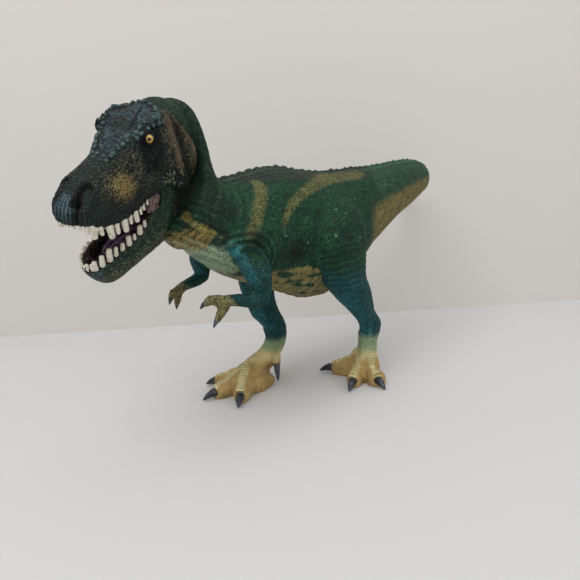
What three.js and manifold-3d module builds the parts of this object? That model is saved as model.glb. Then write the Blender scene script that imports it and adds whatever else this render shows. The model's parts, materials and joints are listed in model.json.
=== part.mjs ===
// A toy tyrannosaur in moulded vinyl, striding with its mouth open and its tail swept aside.
// Units are millimetres. The figure is modelled facing +X, its left side toward +Y and its soles on
// z = 0. At the end it is turned to face -X and centred over the ground.
import * as THREE from "three";
import { mergeVertices } from "three/addons/utils/BufferGeometryUtils.js";
import Module from "manifold-3d";

const wasm = await Module();
wasm.setup();

const degree = Math.PI / 180;

// Fits
const seam = 0.3;             // gap between two mouldings that seat on each other
const overrun = 4;            // how far a cutting shape runs past what it cuts

// Body
const backHeight = 116;       // ground to the top of the back
const bodyLength = 92;        // tail seam to the root of the neck
const bodyHalfWidth = 25.5;
const tailSeamBack = 50;      // tail seam behind the middle of the stride

// Head
const headForward = 68.4;     // jaw corner ahead of the middle of the stride
const headSide = -5.5;        // jaw corner to the left of the middle plane
const headHeight = 113.5;     // jaw corner above the ground
const headTurn = new THREE.Euler(-18.8 * degree, 17.5 * degree, 20.3 * degree, "ZYX");
const skullLength = 53.2;     // jaw corner to the tip of the snout
const skullBack = 6;          // jaw corner to the flat back of the skull
const skullHeight = 34.2;
const skullHalfWidth = 14.2;
const neckPegRadius = 5.5;
const neckPegLength = 9;
const eyeRadius = 2.5;
const nostrilRadius = 1.5;

// Jaws
const hingeForward = 2;       // hinge ahead of the jaw corner
const hingeRaise = 4.5;       // hinge above the jaw corner
const hingePinRadius = 1.5;
const hingePinHalfLength = 11.6;
const jawLength = 51.5;         // hinge to the tip of the chin
const jawDepth = 21;
const jawHalfWidth = 10.9;
const jawEarHalfWidth = 8.8;  // half width of the jaw between the cheeks
const jawSideClearance = 0.5;
const jawGape = 23 * degree;  // how far the mouth stands open
const jawOpens = 5 * degree;  // further opening from there
const jawShuts = 10 * degree; // closing from there
const mouthRoof = 10.9;       // roof of the mouth hollow above the jaw corner
const palateThickness = 1.3;
const jawFloorDepth = 6.5;    // floor of the mouth below the hinge
const hollowDrop = 16;        // how far the mouth's cutting shape runs below the jaw corner
const tongueThickness = 4.4;

// Teeth
const upperTeeth = 24;
const lowerTeeth = 20;
const upperToothLength = 5.2;
const lowerToothLength = 4.2;
const toothRadius = 1.15;
const gumWidth = 1.6;
const gumHeight = 2.2;
const gumInset = 1.9;         // middle of the strip inside the lip's outer edge
const lipSkin = 0.45;         // wall left outside the strip

// Tail
const tailLength = 111;       // tail seam to the tip, measured along x
const tailSweep = 50;         // how far the tip swings to the right
const tailPegRadius = 9;
const tailPegLength = 10;

// Legs and feet
const legHeight = 104;
const thighDepth = 38;
const thighHalfWidth = 12;
const hipHalfWidth = 24;      // middle of the shin out from the middle plane
const hipPegRadius = 5;
const hipPegLength = 8;
const toeLength = 18;         // middle of the foot to the root of a claw
const toeRadius = 4.4;
const heelRadius = 5.2;
const clawLength = 8.5;
const clawRadius = 2.5;
const clawSink = 1.4;         // how far a claw's root sits inside its toe
const dewToeLength = 7;       // small inner toe, hanging behind the foot
const dewRadius = 2.7;
const dewHeight = 13;

// Arms and hands
const armReach = 26;          // elbow to the root of the claws
const armRadius = 6.2;
const shoulderPegRadius = 2.6;
const shoulderPegLength = 6;
const fingerRadius = 1.9;
const fingerClawLength = 4.6;

// Back ridge
const scutePitch = 5.6;
const scuteRadius = 2.9;
const scuteHeight = 1.9;

// Faces round a section
const trunkSides = 20;
const limbSides = 12;
const smallSides = 8;
const gumStepCount = 22;      // straight lengths in a gum strip
const fineSections = 5;       // sections put between two stations to find a line on a form

// Sections and lofts

// A section of a form: x runs along the form, y to its left and z up from its middle. The powers
// square off its upper and lower halves, and pinch narrows it toward its top.
function station(place) {
  const roundPower = 2.3;
  const { x, y = 0, z, pitch = 0, yaw = 0, roll = 0, up, down = up, half = up } = place;
  const { topPower = roundPower, bottomPower = roundPower, pinch = 0 } = place;
  return [x, y, z, pitch, yaw, roll, up, down, half, topPower, bottomPower, pinch];
}

function smooth(before, from, to, after, share) {
  const bend = 2 * before - 5 * from + 4 * to - after;
  const twist = 3 * (from - to) + after - before;
  return from + 0.5 * share * (to - before + share * (bend + share * twist));
}

// Adds smooth sections between the given ones.
function refine(stations, extra) {
  const last = stations.length - 1;
  const fine = [];
  for (let i = 0; i < last; i += 1) {
    const near = [Math.max(i - 1, 0), i, i + 1, Math.min(i + 2, last)].map((k) => stations[k]);
    for (let k = 0; k <= extra; k += 1) {
      const share = k / (extra + 1);
      fine.push(near[1].map((_, c) => smooth(near[0][c], near[1][c], near[2][c], near[3][c], share)));
    }
  }
  fine.push(stations[last]);
  return fine;
}

function frameOf(row) {
  const [x, y, z, pitch, yaw, roll] = row;
  const turn = new THREE.Euler(roll * degree, pitch * degree, yaw * degree, "ZYX");
  return new THREE.Matrix4().makeRotationFromEuler(turn).setPosition(x, y, z);
}

function ring(row, sides, grow, shift) {
  const [up, down, half, topPower, bottomPower, pinch] = row.slice(6);
  const frame = frameOf(row);
  return Array.from({ length: sides }, (_, k) => {
    const angle = (2 * Math.PI * k) / sides;
    const power = 2 / (Math.sin(angle) > 0 ? topPower : bottomPower);
    const wide = Math.sign(Math.cos(angle)) * Math.abs(Math.cos(angle)) ** power;
    const high = Math.sign(Math.sin(angle)) * Math.abs(Math.sin(angle)) ** power;
    const height = high * ((high > 0 ? up : down) + grow);
    const narrowing = 1 - pinch * Math.max(high, 0);
    return new THREE.Vector3(shift, wide * (half + grow) * narrowing, height).applyMatrix4(frame);
  });
}

// Swells or hollows round a point, fading out over the reach.
function swell(point, middle, features) {
  const outward = point.clone().sub(middle).normalize();
  for (const { at, reach, rise } of features) {
    const fade = Math.exp(-(point.distanceToSquared(at) / reach ** 2));
    point.addScaledVector(outward, rise * fade);
  }
  return point;
}

function loft(stations, { sides, extra = 1, grow = 0, features = [] }) {
  const rows = refine(stations, extra);
  const last = rows.length - 1;
  const shiftOf = (r) => (r === 0 ? -grow : r === last ? grow : 0);
  const middleOf = (r) => new THREE.Vector3(shiftOf(r), 0, 0).applyMatrix4(frameOf(rows[r]));
  const points = rows.flatMap((row, r) =>
    ring(row, sides, grow, shiftOf(r)).map((point) => swell(point, middleOf(r), features)));
  points.push(middleOf(0), middleOf(last));
  const index = [];
  for (let r = 0; r < last; r += 1) {
    for (let s = 0; s < sides; s += 1) {
      const [a, b] = [r * sides + s, r * sides + ((s + 1) % sides)];
      index.push(a, b, a + sides, b, b + sides, a + sides);
    }
  }
  for (let s = 0; s < sides; s += 1) {
    const next = (s + 1) % sides;
    index.push(points.length - 2, next, s);
    index.push(points.length - 1, last * sides + s, last * sides + next);
  }
  const geometry = new THREE.BufferGeometry().setFromPoints(points);
  return geometry.setIndex(index);
}

// Joining and cutting

function solid(geometry, place = new THREE.Matrix4()) {
  const bare = geometry.clone().applyMatrix4(place);
  bare.deleteAttribute("normal");
  bare.deleteAttribute("uv");
  const merged = mergeVertices(bare);
  const vertProperties = Float32Array.from(merged.attributes.position.array);
  const triVerts = Uint32Array.from(merged.index.array);
  return new wasm.Manifold(new wasm.Mesh({ numProp: 3, vertProperties, triVerts }));
}

function geometryOf(shape) {
  const { vertProperties, triVerts } = shape.getMesh();
  const geometry = new THREE.BufferGeometry();
  geometry.setAttribute("position", new THREE.BufferAttribute(vertProperties, 3));
  geometry.setIndex(new THREE.BufferAttribute(triVerts, 1));
  geometry.computeVertexNormals();
  return geometry;
}

function join(shapes) {
  return shapes.reduce((whole, shape) => whole.add(shape));
}

function cut(shape, tools) {
  return tools.reduce((rest, tool) => rest.subtract(tool), shape);
}

function ball(radius, x, y, z) {
  const sphere = new THREE.SphereGeometry(radius, smallSides + 2, smallSides - 2);
  return solid(sphere.translate(x, y, z));
}

// A round peg from one point to another.
function peg(radius, from, to, sides = limbSides) {
  const along = new THREE.Vector3().subVectors(to, from);
  const upright = new THREE.Vector3(0, 1, 0);
  const turn = new THREE.Quaternion().setFromUnitVectors(upright, along.clone().normalize());
  const geometry = new THREE.CylinderGeometry(radius, radius, along.length(), sides);
  geometry.applyQuaternion(turn).translate(...from.clone().addScaledVector(along, 0.5));
  return solid(geometry);
}

function mix(from, to, share) {
  return from + (to - from) * share;
}

// Body and neck

const headPlace = new THREE.Matrix4().makeRotationFromEuler(headTurn);
headPlace.setPosition(headForward, headSide, headHeight);

// Along the body from the tail seam, then its top, bottom and half width
const bodyShares = [
  [0, 0.998, 0.599, 0.64],
  [0.13, 0.989, 0.534, 0.76],
  [0.283, 0.98, 0.47, 0.87],
  [0.435, 0.981, 0.434, 0.94],
  [0.598, 0.997, 0.455, 0.98],
  [0.761, 1, 0.497, 1],
  [0.891, 0.977, 0.545, 0.97],
  [1, 0.962, 0.582, 0.92],
];

function bodyStation([along, top, bottom, half]) {
  const middle = ((top + bottom) / 2) * backHeight;
  const x = along * bodyLength - tailSeamBack;
  return station({ x, z: middle, up: top * backHeight - middle, half: half * bodyHalfWidth });
}

// From the root of the neck to the back of the head: forward and up. Then the lean in degrees, how
// far it has turned toward the head, and the nape, throat and half width in body half widths
const neckShares = [
  [0.393, 0.06, -12, 0, 0.76, 0.64, 0.79],
  [0.655, 0.28, -28, 0.05, 0.57, 0.7, 0.62],
  [0.786, 0.51, -26, 0.15, 0.575, 0.74, 0.57],
  [0.808, 0.742, -10, 0.35, 0.74, 0.5, 0.5],
  [0.886, 0.918, 5, 0.7, 0.74, 0.5, 0.5],
];
const headBackShares = [0.68, 0.56, 0.51];
const headBackMiddleShare = 0.41;

function neckStations() {
  const root = bodyStation(bodyShares.at(-1));
  const end = new THREE.Vector3(-skullBack - seam, 0, headBackMiddleShare * skullHeight);
  end.applyMatrix4(headPlace);
  const [roll, pitch, yaw] = headTurn.toArray().map((angle) => angle / degree);
  const headBack = [1, 1, pitch, 1, ...headBackShares];
  return [...neckShares, headBack].map(([forward, rise, lean, toward, nape, throat, half]) => station({
    x: mix(root[0], end.x, forward),
    y: end.y * toward,
    z: mix(root[2], end.z, rise),
    pitch: lean,
    yaw: yaw * toward,
    roll: roll * toward,
    up: nape * bodyHalfWidth,
    down: throat * bodyHalfWidth,
    half: half * bodyHalfWidth,
  }));
}

// Swellings of the body: along, height and side in the body's sizes, then reach and rise
const bodySwellShares = [
  [0.99, 0.7, 0.92, 0.45, 0.09],
  [0.99, 0.7, -0.92, 0.45, 0.09],
  [0.33, 0.44, 0, 0.28, 0.1],
];

const bodyStations = [...bodyShares.map(bodyStation), ...neckStations()];
const bodyFeatures = bodySwellShares.map(([along, height, side, reach, rise]) => ({
  at: new THREE.Vector3(
    along * bodyLength - tailSeamBack, side * bodyHalfWidth, height * backHeight),
  reach: reach * bodyHalfWidth,
  rise: rise * bodyHalfWidth,
}));

function bodyForm(grow = 0) {
  return solid(loft(bodyStations, { sides: trunkSides, grow, features: bodyFeatures }));
}

const ridgeEnd = 0.62;        // share of the body's stations, at the root of the neck

// Low pointed scutes down the middle of the back, from one share of the stations to another
function ridge(stations, fromShare, toShare, size = () => 1) {
  const rows = refine(stations, fineSections);
  const crest = rows.map((row) => new THREE.Vector3(0, 0, row[6]).applyMatrix4(frameOf(row)));
  const line = new THREE.CatmullRomCurve3(crest);
  const count = Math.max(1, Math.round((line.getLength() * (toShare - fromShare)) / scutePitch));
  return Array.from({ length: count }, (_, k) => {
    const share = mix(fromShare, toShare, (k + 0.5) / count);
    const scale = size(share);
    const cone = new THREE.ConeGeometry(scuteRadius * scale, 2 * scuteHeight * scale, 4);
    cone.rotateX(Math.PI / 2).scale(1, 0.6, 1);
    const along = line.getTangentAt(share);
    cone.rotateY(Math.atan2(-along.z, Math.hypot(along.x, along.y)) - 12 * degree);
    cone.rotateZ(Math.atan2(along.y, along.x));
    return solid(cone.translate(...line.getPointAt(share)));
  });
}

// Skull, in the head's own frame: its origin is the corner of the jaws, x runs to the snout

// Along the skull from its flat back to the snout tip, then the top, the lip and the half width
const skullShares = [
  [0, 0.86, 0.1, 0.88, 2.3, 3],
  [0.07, 0.91, -0.02, 0.96, 2.4, 3.5],
  [0.16, 0.94, -0.05, 0.97, 2.5, 4.5],
  [0.27, 0.915, 0.01, 0.94, 2.4, 6],
  [0.385, 0.86, 0.02, 0.91, 2.4, 7],
  [0.515, 0.73, 0.005, 0.85, 2.5, 7],
  [0.64, 0.58, -0.03, 0.82, 2.2, 7],
  [0.77, 0.49, -0.04, 0.79, 1.9, 7],
  [0.865, 0.4, -0.01, 0.71, 1.75, 6],
  [0.937, 0.31, 0.025, 0.56, 1.75, 5],
  [0.978, 0.245, 0.055, 0.4, 1.75, 4],
  [1, 0.195, 0.105, 0.22, 1.8, 3],
];
const skullMiddleShare = 0.34;

function skullStation([along, top, lip, half, topPower, bottomPower]) {
  const middle = mix(lip, top, skullMiddleShare) * skullHeight;
  return station({
    x: along * (skullBack + skullLength) - skullBack,
    z: middle,
    up: top * skullHeight - middle,
    down: middle - lip * skullHeight,
    half: half * skullHalfWidth,
    topPower,
    bottomPower,
  });
}

// Brow ridges, cheeks, the hollow before the eye, the nostril rims and the dent between the brows:
// along, side and height in the skull's sizes, then reach and rise in skull half widths
const skullSwellShares = [
  [0.2, 0.64, 0.86, 0.27, 0.16],
  [0.29, 0.66, 0.86, 0.26, 0.22],
  [0.38, 0.66, 0.82, 0.26, 0.24],
  [0.47, 0.58, 0.73, 0.25, 0.2],
  [0.55, 0.46, 0.63, 0.22, 0.14],
  [0.38, 0.9, 0.6, 0.22, 0.07],
  [0.15, 0.98, 0.1, 0.4, 0.07],
  [0.36, 0.92, 0.34, 0.34, 0.05],
  [0.6, 0.72, 0.36, 0.4, -0.09],
  [0.86, 0.42, 0.38, 0.22, 0.08],
];
const browDentShares = [
  [0.48, 0, 0.83, 0.34, -0.1],
  [0.72, 0, 0.6, 0.3, 0.05],
];

function skullPoint(along, side, height) {
  const x = along * (skullBack + skullLength) - skullBack;
  return new THREE.Vector3(x, side * skullHalfWidth, height * skullHeight);
}

const skullStations = skullShares.map(skullStation);
const mirroredSwellShares = skullSwellShares.map(([along, side, ...rest]) => [along, -side, ...rest]);
const skullFeatures = [...skullSwellShares, ...mirroredSwellShares, ...browDentShares].map(
  ([along, side, height, reach, rise]) => ({
    at: skullPoint(along, side, height),
    reach: reach * skullHalfWidth,
    rise: rise * skullHalfWidth,
  }));

// Half width and lip height of a jaw's stations at a distance x along it
function rowAt(stations, x) {
  const rows = refine(stations, fineSections);
  const next = Math.max(1, rows.findIndex((row) => row[0] >= x));
  const [a, b] = [rows[next - 1], rows[next]];
  const share = (x - a[0]) / (b[0] - a[0]);
  return a.map((value, c) => mix(value, b[c], share));
}

// The hollow of the mouth under the skull: along, roof and half width
const hollowShares = [
  [-0.076, 0.9, 1],
  [-0.05, 1, 1],
  [0.18, 1, 1],
  [0.34, 1, 0.99],
  [0.55, 0.93, 0.965],
  [0.74, 0.83, 0.92],
  [0.85, 0.72, 0.8],
  [0.91, 0.6, 0.56],
  [0.935, 0.5, 0.28],
];
const hollowHalfWidth = jawEarHalfWidth + jawSideClearance;
const boxyPower = 6;

function hollowStation([along, roof, half], shrink) {
  const top = roof * mouthRoof - shrink;
  const middle = (top - hollowDrop) / 2;
  return station({
    x: along * skullLength,
    z: middle,
    up: top - middle,
    half: half * hollowHalfWidth - shrink,
    topPower: boxyPower,
    bottomPower: boxyPower,
  });
}

function mouthHollow(shrink = 0) {
  const rows = hollowShares.map((shares) => hollowStation(shares, shrink));
  return solid(loft(rows, { sides: limbSides + 2, extra: 0 }));
}

// An arched lining under the roof of the mouth, from behind the corner of the lips to the front
const palateStartShare = 0.2;
const palateDepthShare = 0.5; // how far down the walls it reaches, of the roof's height

function palateForm() {
  const lining = mouthHollow(seam).subtract(mouthHollow(seam + palateThickness));
  const size = 2 * skullLength;
  const keep = new THREE.BoxGeometry(size, size, size);
  const start = palateStartShare * skullLength;
  keep.translate(start + size / 2, 0, palateDepthShare * mouthRoof + size / 2);
  return lining.intersect(solid(keep));
}

// Tooth rows: a gum strip let into the lip, with blunt teeth of uneven length

// The line of a tooth row round the lip, from the right corner to the left one
function toothLine(lipAt, fromX, toX) {
  const steps = 8;
  const quarter = Array.from({ length: steps + 1 }, (_, k) => {
    const angle = (k / steps) * (Math.PI / 2);
    const x = mix(fromX, toX, Math.sin(angle));
    return { x, half: lipAt(x).half };
  });
  const left = quarter.map(({ x, half }) => new THREE.Vector3(x, half, 0));
  const front = new THREE.Vector3(toX, 0, 0);
  const right = left.map(({ x, y }) => new THREE.Vector3(x, -y, 0));
  const outer = new THREE.CatmullRomCurve3([...right, front, ...left.reverse()]);
  return (share) => {
    const point = outer.getPointAt(share);
    const along = outer.getTangentAt(share);
    const outward = new THREE.Vector3(along.y, -along.x, 0).normalize();
    point.addScaledVector(outward, -gumInset);
    return { point: point.setZ(lipAt(point.x).z), outward };
  };
}

// A bent bar along a tooth line, between two distances out from it and two heights over the lip
function bar(line, inner, outer, low, high) {
  const points = [];
  for (let k = 0; k <= gumStepCount; k += 1) {
    const { point, outward } = line(k / gumStepCount);
    for (const [out, height] of [[inner, low], [inner, high], [outer, high], [outer, low]]) {
      points.push(point.clone().addScaledVector(outward, out).add(new THREE.Vector3(0, 0, height)));
    }
  }
  const cornerCount = 4;
  const index = [];
  for (let k = 0; k < gumStepCount; k += 1) {
    for (let s = 0; s < cornerCount; s += 1) {
      const [a, b] = [k * cornerCount + s, k * cornerCount + ((s + 1) % cornerCount)];
      index.push(a, b, a + cornerCount, b, b + cornerCount, a + cornerCount);
    }
  }
  const end = gumStepCount * cornerCount;
  index.push(0, 2, 1, 0, 3, 2, end, end + 1, end + 2, end, end + 2, end + 3);
  return solid(new THREE.BufferGeometry().setFromPoints(points).setIndex(index));
}

// Every third tooth or so is a large one
const toothSizeShares = [0.86, 1.08, 0.74, 0.95, 1.12, 0.8, 1];

function tooth(line, share, length, toward, number) {
  const size = toothSizeShares[number % toothSizeShares.length];
  const corner = 1 - 0.45 * Math.abs(2 * share - 1) ** 3;
  const { point } = line(share);
  const reach = length * size * corner;
  const radius = toothRadius * mix(1, size, 0.5) * mix(0.75, 1, corner);
  const pitch = (toward * -Math.PI) / 2 / degree;
  const rowsShares = [[-0.2, 0.95], [0.6, 0.8], [1, 0.25]];
  const rows = rowsShares.map(([out, wide]) => station({
    x: point.x - 0.12 * reach * Math.max(out, 0) ** 2,
    y: point.y,
    z: point.z + toward * out * reach,
    pitch,
    up: radius * wide,
    half: radius * wide,
  }));
  return solid(loft(rows, { sides: 5, extra: 0 }));
}

function toothRow(line, count, length, toward) {
  const [low, high] = toward < 0 ? [0, gumHeight] : [-gumHeight, 0];
  const strip = bar(line, -gumWidth / 2, gumWidth / 2, low, high);
  const teeth = Array.from({ length: count }, (_, k) =>
    tooth(line, mix(0.035, 0.965, k / (count - 1)), length, toward, k));
  return join([strip, ...teeth]);
}

// The rebate that a gum strip sits in, open toward the mouth
function toothSeat(line, toward) {
  const outer = gumInset - lipSkin;
  const [low, high] = toward < 0 ? [-overrun, gumHeight + seam] : [-gumHeight - seam, overrun];
  return bar(line, -gumWidth, outer, low, high);
}

const upperCornerShare = 0.2;
const upperLip = (x) => {
  const row = rowAt(skullStations, x);
  return { half: row[8], z: row[2] - row[7] };
};
const upperLine = toothLine(upperLip, upperCornerShare * skullLength, skullLength - seam);

const hinge = new THREE.Vector3(hingeForward, 0, hingeRaise);
const sideways = new THREE.Vector3(0, 1, 0);

function hingePin(grow = 0) {
  const reach = hingePinHalfLength + grow;
  const ends = [-reach, reach].map((side) => hinge.clone().addScaledVector(sideways, side));
  return peg(hingePinRadius + grow, ...ends, limbSides);
}

// Eyes sit under the brows: along, side and height
const eyeShares = [0.445, 0.7, 0.71];

function eye(side, grow = 0) {
  const [along, out, height] = eyeShares;
  return ball(eyeRadius + grow, ...skullPoint(along, side * out, height));
}

// The nostrils are long pits that slope with the top of the snout
const nostrilShares = [0.897, 0.34, 0.32];
const nostrilStretch = 1.9;
const nostrilSlope = 36 * degree;

function nostril(side) {
  const [along, out, height] = nostrilShares;
  const pit = new THREE.SphereGeometry(nostrilRadius, smallSides + 2, smallSides - 2);
  pit.scale(nostrilStretch, 1, 1).rotateY(nostrilSlope);
  return solid(pit.translate(...skullPoint(along, side * out, height)));
}

const neckPegHeightShare = 0.62;

function neckPeg(grow = 0) {
  const height = neckPegHeightShare * skullHeight;
  const from = new THREE.Vector3(-skullBack - seam - overrun, 0, height);
  const to = new THREE.Vector3(-skullBack + neckPegLength + grow, 0, height);
  return peg(neckPegRadius + grow, from, to);
}

// Lower jaw, in its own frame: its origin is the hinge, x runs to the chin when the mouth is shut

// Along the jaw, its lip, its underside and its half width, then how much it narrows to the lip
const jawShares = [
  [-0.08, 0.13, -0.2, 0.8, 2.2, 2.2, 0],
  [-0.03, 0.19, -0.34, 0.805, 2.3, 2.3, 0],
  [0.05, 0.21, -0.6, 0.81, 3, 2.3, 0],
  [0.18, 0.16, -0.92, 0.87, 5, 2.5, 0.08],
  [0.29, 0.06, -0.98, 0.98, 6, 3.2, 0.21],
  [0.4, -0.03, -0.97, 1.06, 7, 3.2, 0.29],
  [0.545, -0.05, -0.89, 1.06, 7, 3, 0.3],
  [0.67, -0.05, -0.83, 1.01, 7, 2.7, 0.29],
  [0.78, -0.05, -0.82, 0.93, 7, 2.4, 0.27],
  [0.88, -0.06, -0.81, 0.8, 6, 2.4, 0.26],
  [0.945, -0.085, -0.76, 0.62, 5, 2.4, 0.21],
  [0.98, -0.14, -0.64, 0.4, 4, 2.4, 0.2],
  [1, -0.23, -0.45, 0.2, 3, 2.4, 0.1],
];
const jawMiddleShare = 0.42;

function jawStation([along, top, bottom, half, topPower, bottomPower, pinch]) {
  const middle = mix(top, bottom, jawMiddleShare) * jawDepth;
  return station({
    x: along * jawLength,
    z: middle,
    up: top * jawDepth - middle,
    down: middle - bottom * jawDepth,
    half: half * jawHalfWidth,
    topPower,
    bottomPower,
    pinch,
  });
}

const jawStations = jawShares.map(jawStation);

function jawForm(grow = 0) {
  return loft(jawStations, { sides: limbSides + 4, grow });
}

const lowerLip = (x) => {
  const row = rowAt(jawStations, x);
  return { half: row[8] * (1 - row[11]), z: row[2] + row[6] };
};
const lowerCornerShare = 0.25;
const lowerLine = toothLine(lowerLip, lowerCornerShare * jawLength, jawLength - seam);

// The trough of the lower jaw: along, then the half width
const troughShares = [[0.26, 0.6], [0.34, 0.7], [0.55, 0.7], [0.72, 0.66], [0.84, 0.48], [0.9, 0.22]];
const troughHalfWidth = jawEarHalfWidth;

function troughForm() {
  const top = overrun * 2;
  const middle = mix(-jawFloorDepth, top, 0.5);
  const rows = troughShares.map(([along, half]) => station({
    x: along * jawLength,
    z: middle,
    up: top - middle,
    half: half * troughHalfWidth,
    topPower: boxyPower,
    bottomPower: boxyPower,
  }));
  return solid(loft(rows, { sides: limbSides, extra: 0 }));
}

// The tongue lies on the floor of the jaw: along, thickness and half width
const tongueShares = [
  [0.29, 0.62, 0.5],
  [0.38, 0.78, 0.56],
  [0.5, 0.74, 0.55],
  [0.62, 0.78, 0.5],
  [0.72, 0.86, 0.4],
  [0.79, 0.8, 0.25],
  [0.82, 0.6, 0.1],
];

function tongueForm() {
  const bottom = -jawFloorDepth + seam;
  const rows = tongueShares.map(([along, thick, half]) => station({
    x: along * jawLength,
    z: bottom + 0.4 * thick * tongueThickness,
    up: 0.6 * thick * tongueThickness,
    down: 0.4 * thick * tongueThickness,
    half: half * troughHalfWidth,
    bottomPower: 3,
  }));
  return solid(loft(rows, { sides: limbSides - 2, extra: 1 }));
}

function jawPlace(angle) {
  const turn = new THREE.Matrix4().makeRotationY(angle);
  return turn.setPosition(hinge);
}

function lowerJawForm() {
  const bore = peg(hingePinRadius + seam, new THREE.Vector3(0, -jawHalfWidth, 0),
    new THREE.Vector3(0, jawHalfWidth, 0));
  return cut(solid(jawForm()), [troughForm(), toothSeat(lowerLine, 1), bore]);
}

// The space that the jaw sweeps through, which the throat stays out of
function jawSweep() {
  const angles = [jawGape + jawOpens, jawGape, jawGape - jawShuts / 2, jawGape - jawShuts];
  const grown = jawForm(jawSideClearance);
  return angles.map((angle) => {
    const place = new THREE.Matrix4().multiplyMatrices(headPlace, jawPlace(angle));
    return solid(grown, place);
  });
}

function skullForm() {
  const shell = solid(loft(skullStations, { sides: trunkSides, features: skullFeatures }));
  const intoHead = headPlace.clone().invert();
  const neck = solid(loft(bodyStations, { sides: trunkSides, grow: seam, features: bodyFeatures }), intoHead);
  return cut(shell, [
    neck,
    mouthHollow(),
    toothSeat(upperLine, -1),
    hingePin(seam),
    neckPeg(seam),
    eye(1, seam),
    eye(-1, seam),
    nostril(1),
    nostril(-1),
  ]);
}

// Tail

// Along the tail, its sweep to the right, the middle's height, the turn and droop in degrees, and
// its half height and half width in body half widths
const tailShares = [
  [0, 0, 0.799, 0, 0, 0.905, 0.64],
  [0.14, 0, 0.841, 0, -3, 0.742, 0.57],
  [0.29, 0, 0.886, 0, -4, 0.626, 0.49],
  [0.44, 0.02, 0.919, -6, -3, 0.536, 0.42],
  [0.58, 0.08, 0.943, -16, -1, 0.445, 0.36],
  [0.71, 0.18, 0.951, -28, 3, 0.36, 0.31],
  [0.82, 0.36, 0.937, -44, 9, 0.295, 0.25],
  [0.9, 0.55, 0.915, -52, 14, 0.22, 0.19],
  [0.955, 0.73, 0.886, -58, 16, 0.155, 0.135],
  [0.99, 0.9, 0.857, -62, 14, 0.095, 0.085],
  [1, 1, 0.842, -64, 12, 0.04, 0.04],
];

function tailStation([along, sweep, height, turn, droop, tall, half]) {
  return station({
    x: -tailSeamBack - seam - along * tailLength,
    y: -sweep * tailSweep,
    z: height * backHeight,
    yaw: 180 - turn,
    pitch: droop,
    up: tall * bodyHalfWidth,
    half: half * bodyHalfWidth,
  });
}

const tailStations = tailShares.map(tailStation);
const tailRootHeight = tailStations[0][2];

function tailPeg(grow = 0) {
  const seat = new THREE.Vector3(-tailSeamBack, 0, tailRootHeight);
  const from = seat.clone().setX(seat.x - overrun);
  const to = seat.clone().setX(seat.x + tailPegLength + grow);
  return peg(tailPegRadius + grow, from, to);
}

function tailForm() {
  const scutes = ridge(tailStations, 0.01, 0.9, (share) => mix(0.85, 0.3, share));
  const form = solid(loft(tailStations, { sides: trunkSides - 4 }));
  return join([form, tailPeg(), ...scutes]);
}

// Legs: forward from the foot's middle and out from the middle plane in leg heights, the height,
// the lean in degrees, then the front, the back and the half width
const leftLegShares = [
  [0.18, -0.12, 1, 90, 0.24, 0.24, 0.42],
  [0.2, -0.07, 0.94, 90, 0.4, 0.38, 0.68],
  [0.215, -0.03, 0.85, 90, 0.47, 0.43, 0.88],
  [0.225, -0.01, 0.74, 88, 0.46, 0.385, 0.97],
  [0.221, 0.002, 0.64, 92, 0.34, 0.32, 0.88],
  [0.194, 0.01, 0.55, 106, 0.26, 0.275, 0.71],
  [0.134, 0.017, 0.455, 120, 0.165, 0.23, 0.54],
  [0.07, 0.015, 0.37, 116, 0.14, 0.18, 0.42],
  [0.034, 0.008, 0.3, 104, 0.145, 0.2, 0.42],
  [0.024, -0.006, 0.22, 94, 0.155, 0.17, 0.44],
  [0.019, -0.03, 0.145, 92, 0.15, 0.15, 0.47],
  [0.01, -0.045, 0.085, 90, 0.19, 0.18, 0.6],
  [0, -0.06, 0.03, 90, 0.2, 0.2, 0.62],
];
const rightLegShares = [
  [-0.3, -0.12, 1, 90, 0.24, 0.24, 0.42],
  [-0.3, -0.07, 0.94, 90, 0.4, 0.4, 0.68],
  [-0.285, -0.03, 0.85, 86, 0.47, 0.48, 0.88],
  [-0.24, -0.01, 0.74, 80, 0.46, 0.48, 1],
  [-0.188, 0, 0.64, 86, 0.38, 0.34, 0.87],
  [-0.178, 0.008, 0.55, 98, 0.35, 0.19, 0.68],
  [-0.2, 0.013, 0.455, 98, 0.31, 0.13, 0.53],
  [-0.216, 0.012, 0.37, 94, 0.27, 0.165, 0.5],
  [-0.247, 0.005, 0.29, 84, 0.175, 0.205, 0.45],
  [-0.233, 0, 0.215, 66, 0.11, 0.2, 0.42],
  [-0.181, 0, 0.155, 50, 0.1, 0.2, 0.46],
  [-0.095, -0.005, 0.105, 36, 0.11, 0.22, 0.57],
  [-0.01, -0.01, 0.07, 24, 0.13, 0.18, 0.6],
];

// Each foot: its middle, the heading of its toes in degrees, and its dew claw
const left = {
  name: "left",
  side: 1,
  legShares: leftLegShares,
  footForward: -31,
  footSide: 15,
  toes: { inner: -66, middle: 24, outer: 68 },
  heel: 200,
  heelReach: 0.75,
  dewHeading: -62,
  dewAlongShare: 0,
};
const right = {
  name: "right",
  side: -1,
  legShares: rightLegShares,
  footForward: 24,
  footSide: -22,
  toes: { inner: 44, middle: -10, outer: -64 },
  heel: 168,
  heelReach: 1.4,
  dewHeading: 52,
  dewAlongShare: -0.18,
};

function legStations({ side, footForward, legShares }) {
  return legShares.map(([forward, out, height, lean, front, back, half]) => station({
    x: footForward + forward * legHeight,
    y: side * (hipHalfWidth + out * legHeight),
    z: height * legHeight,
    pitch: lean,
    up: front * thighDepth,
    down: back * thighDepth,
    half: half * thighHalfWidth,
  }));
}

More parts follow.
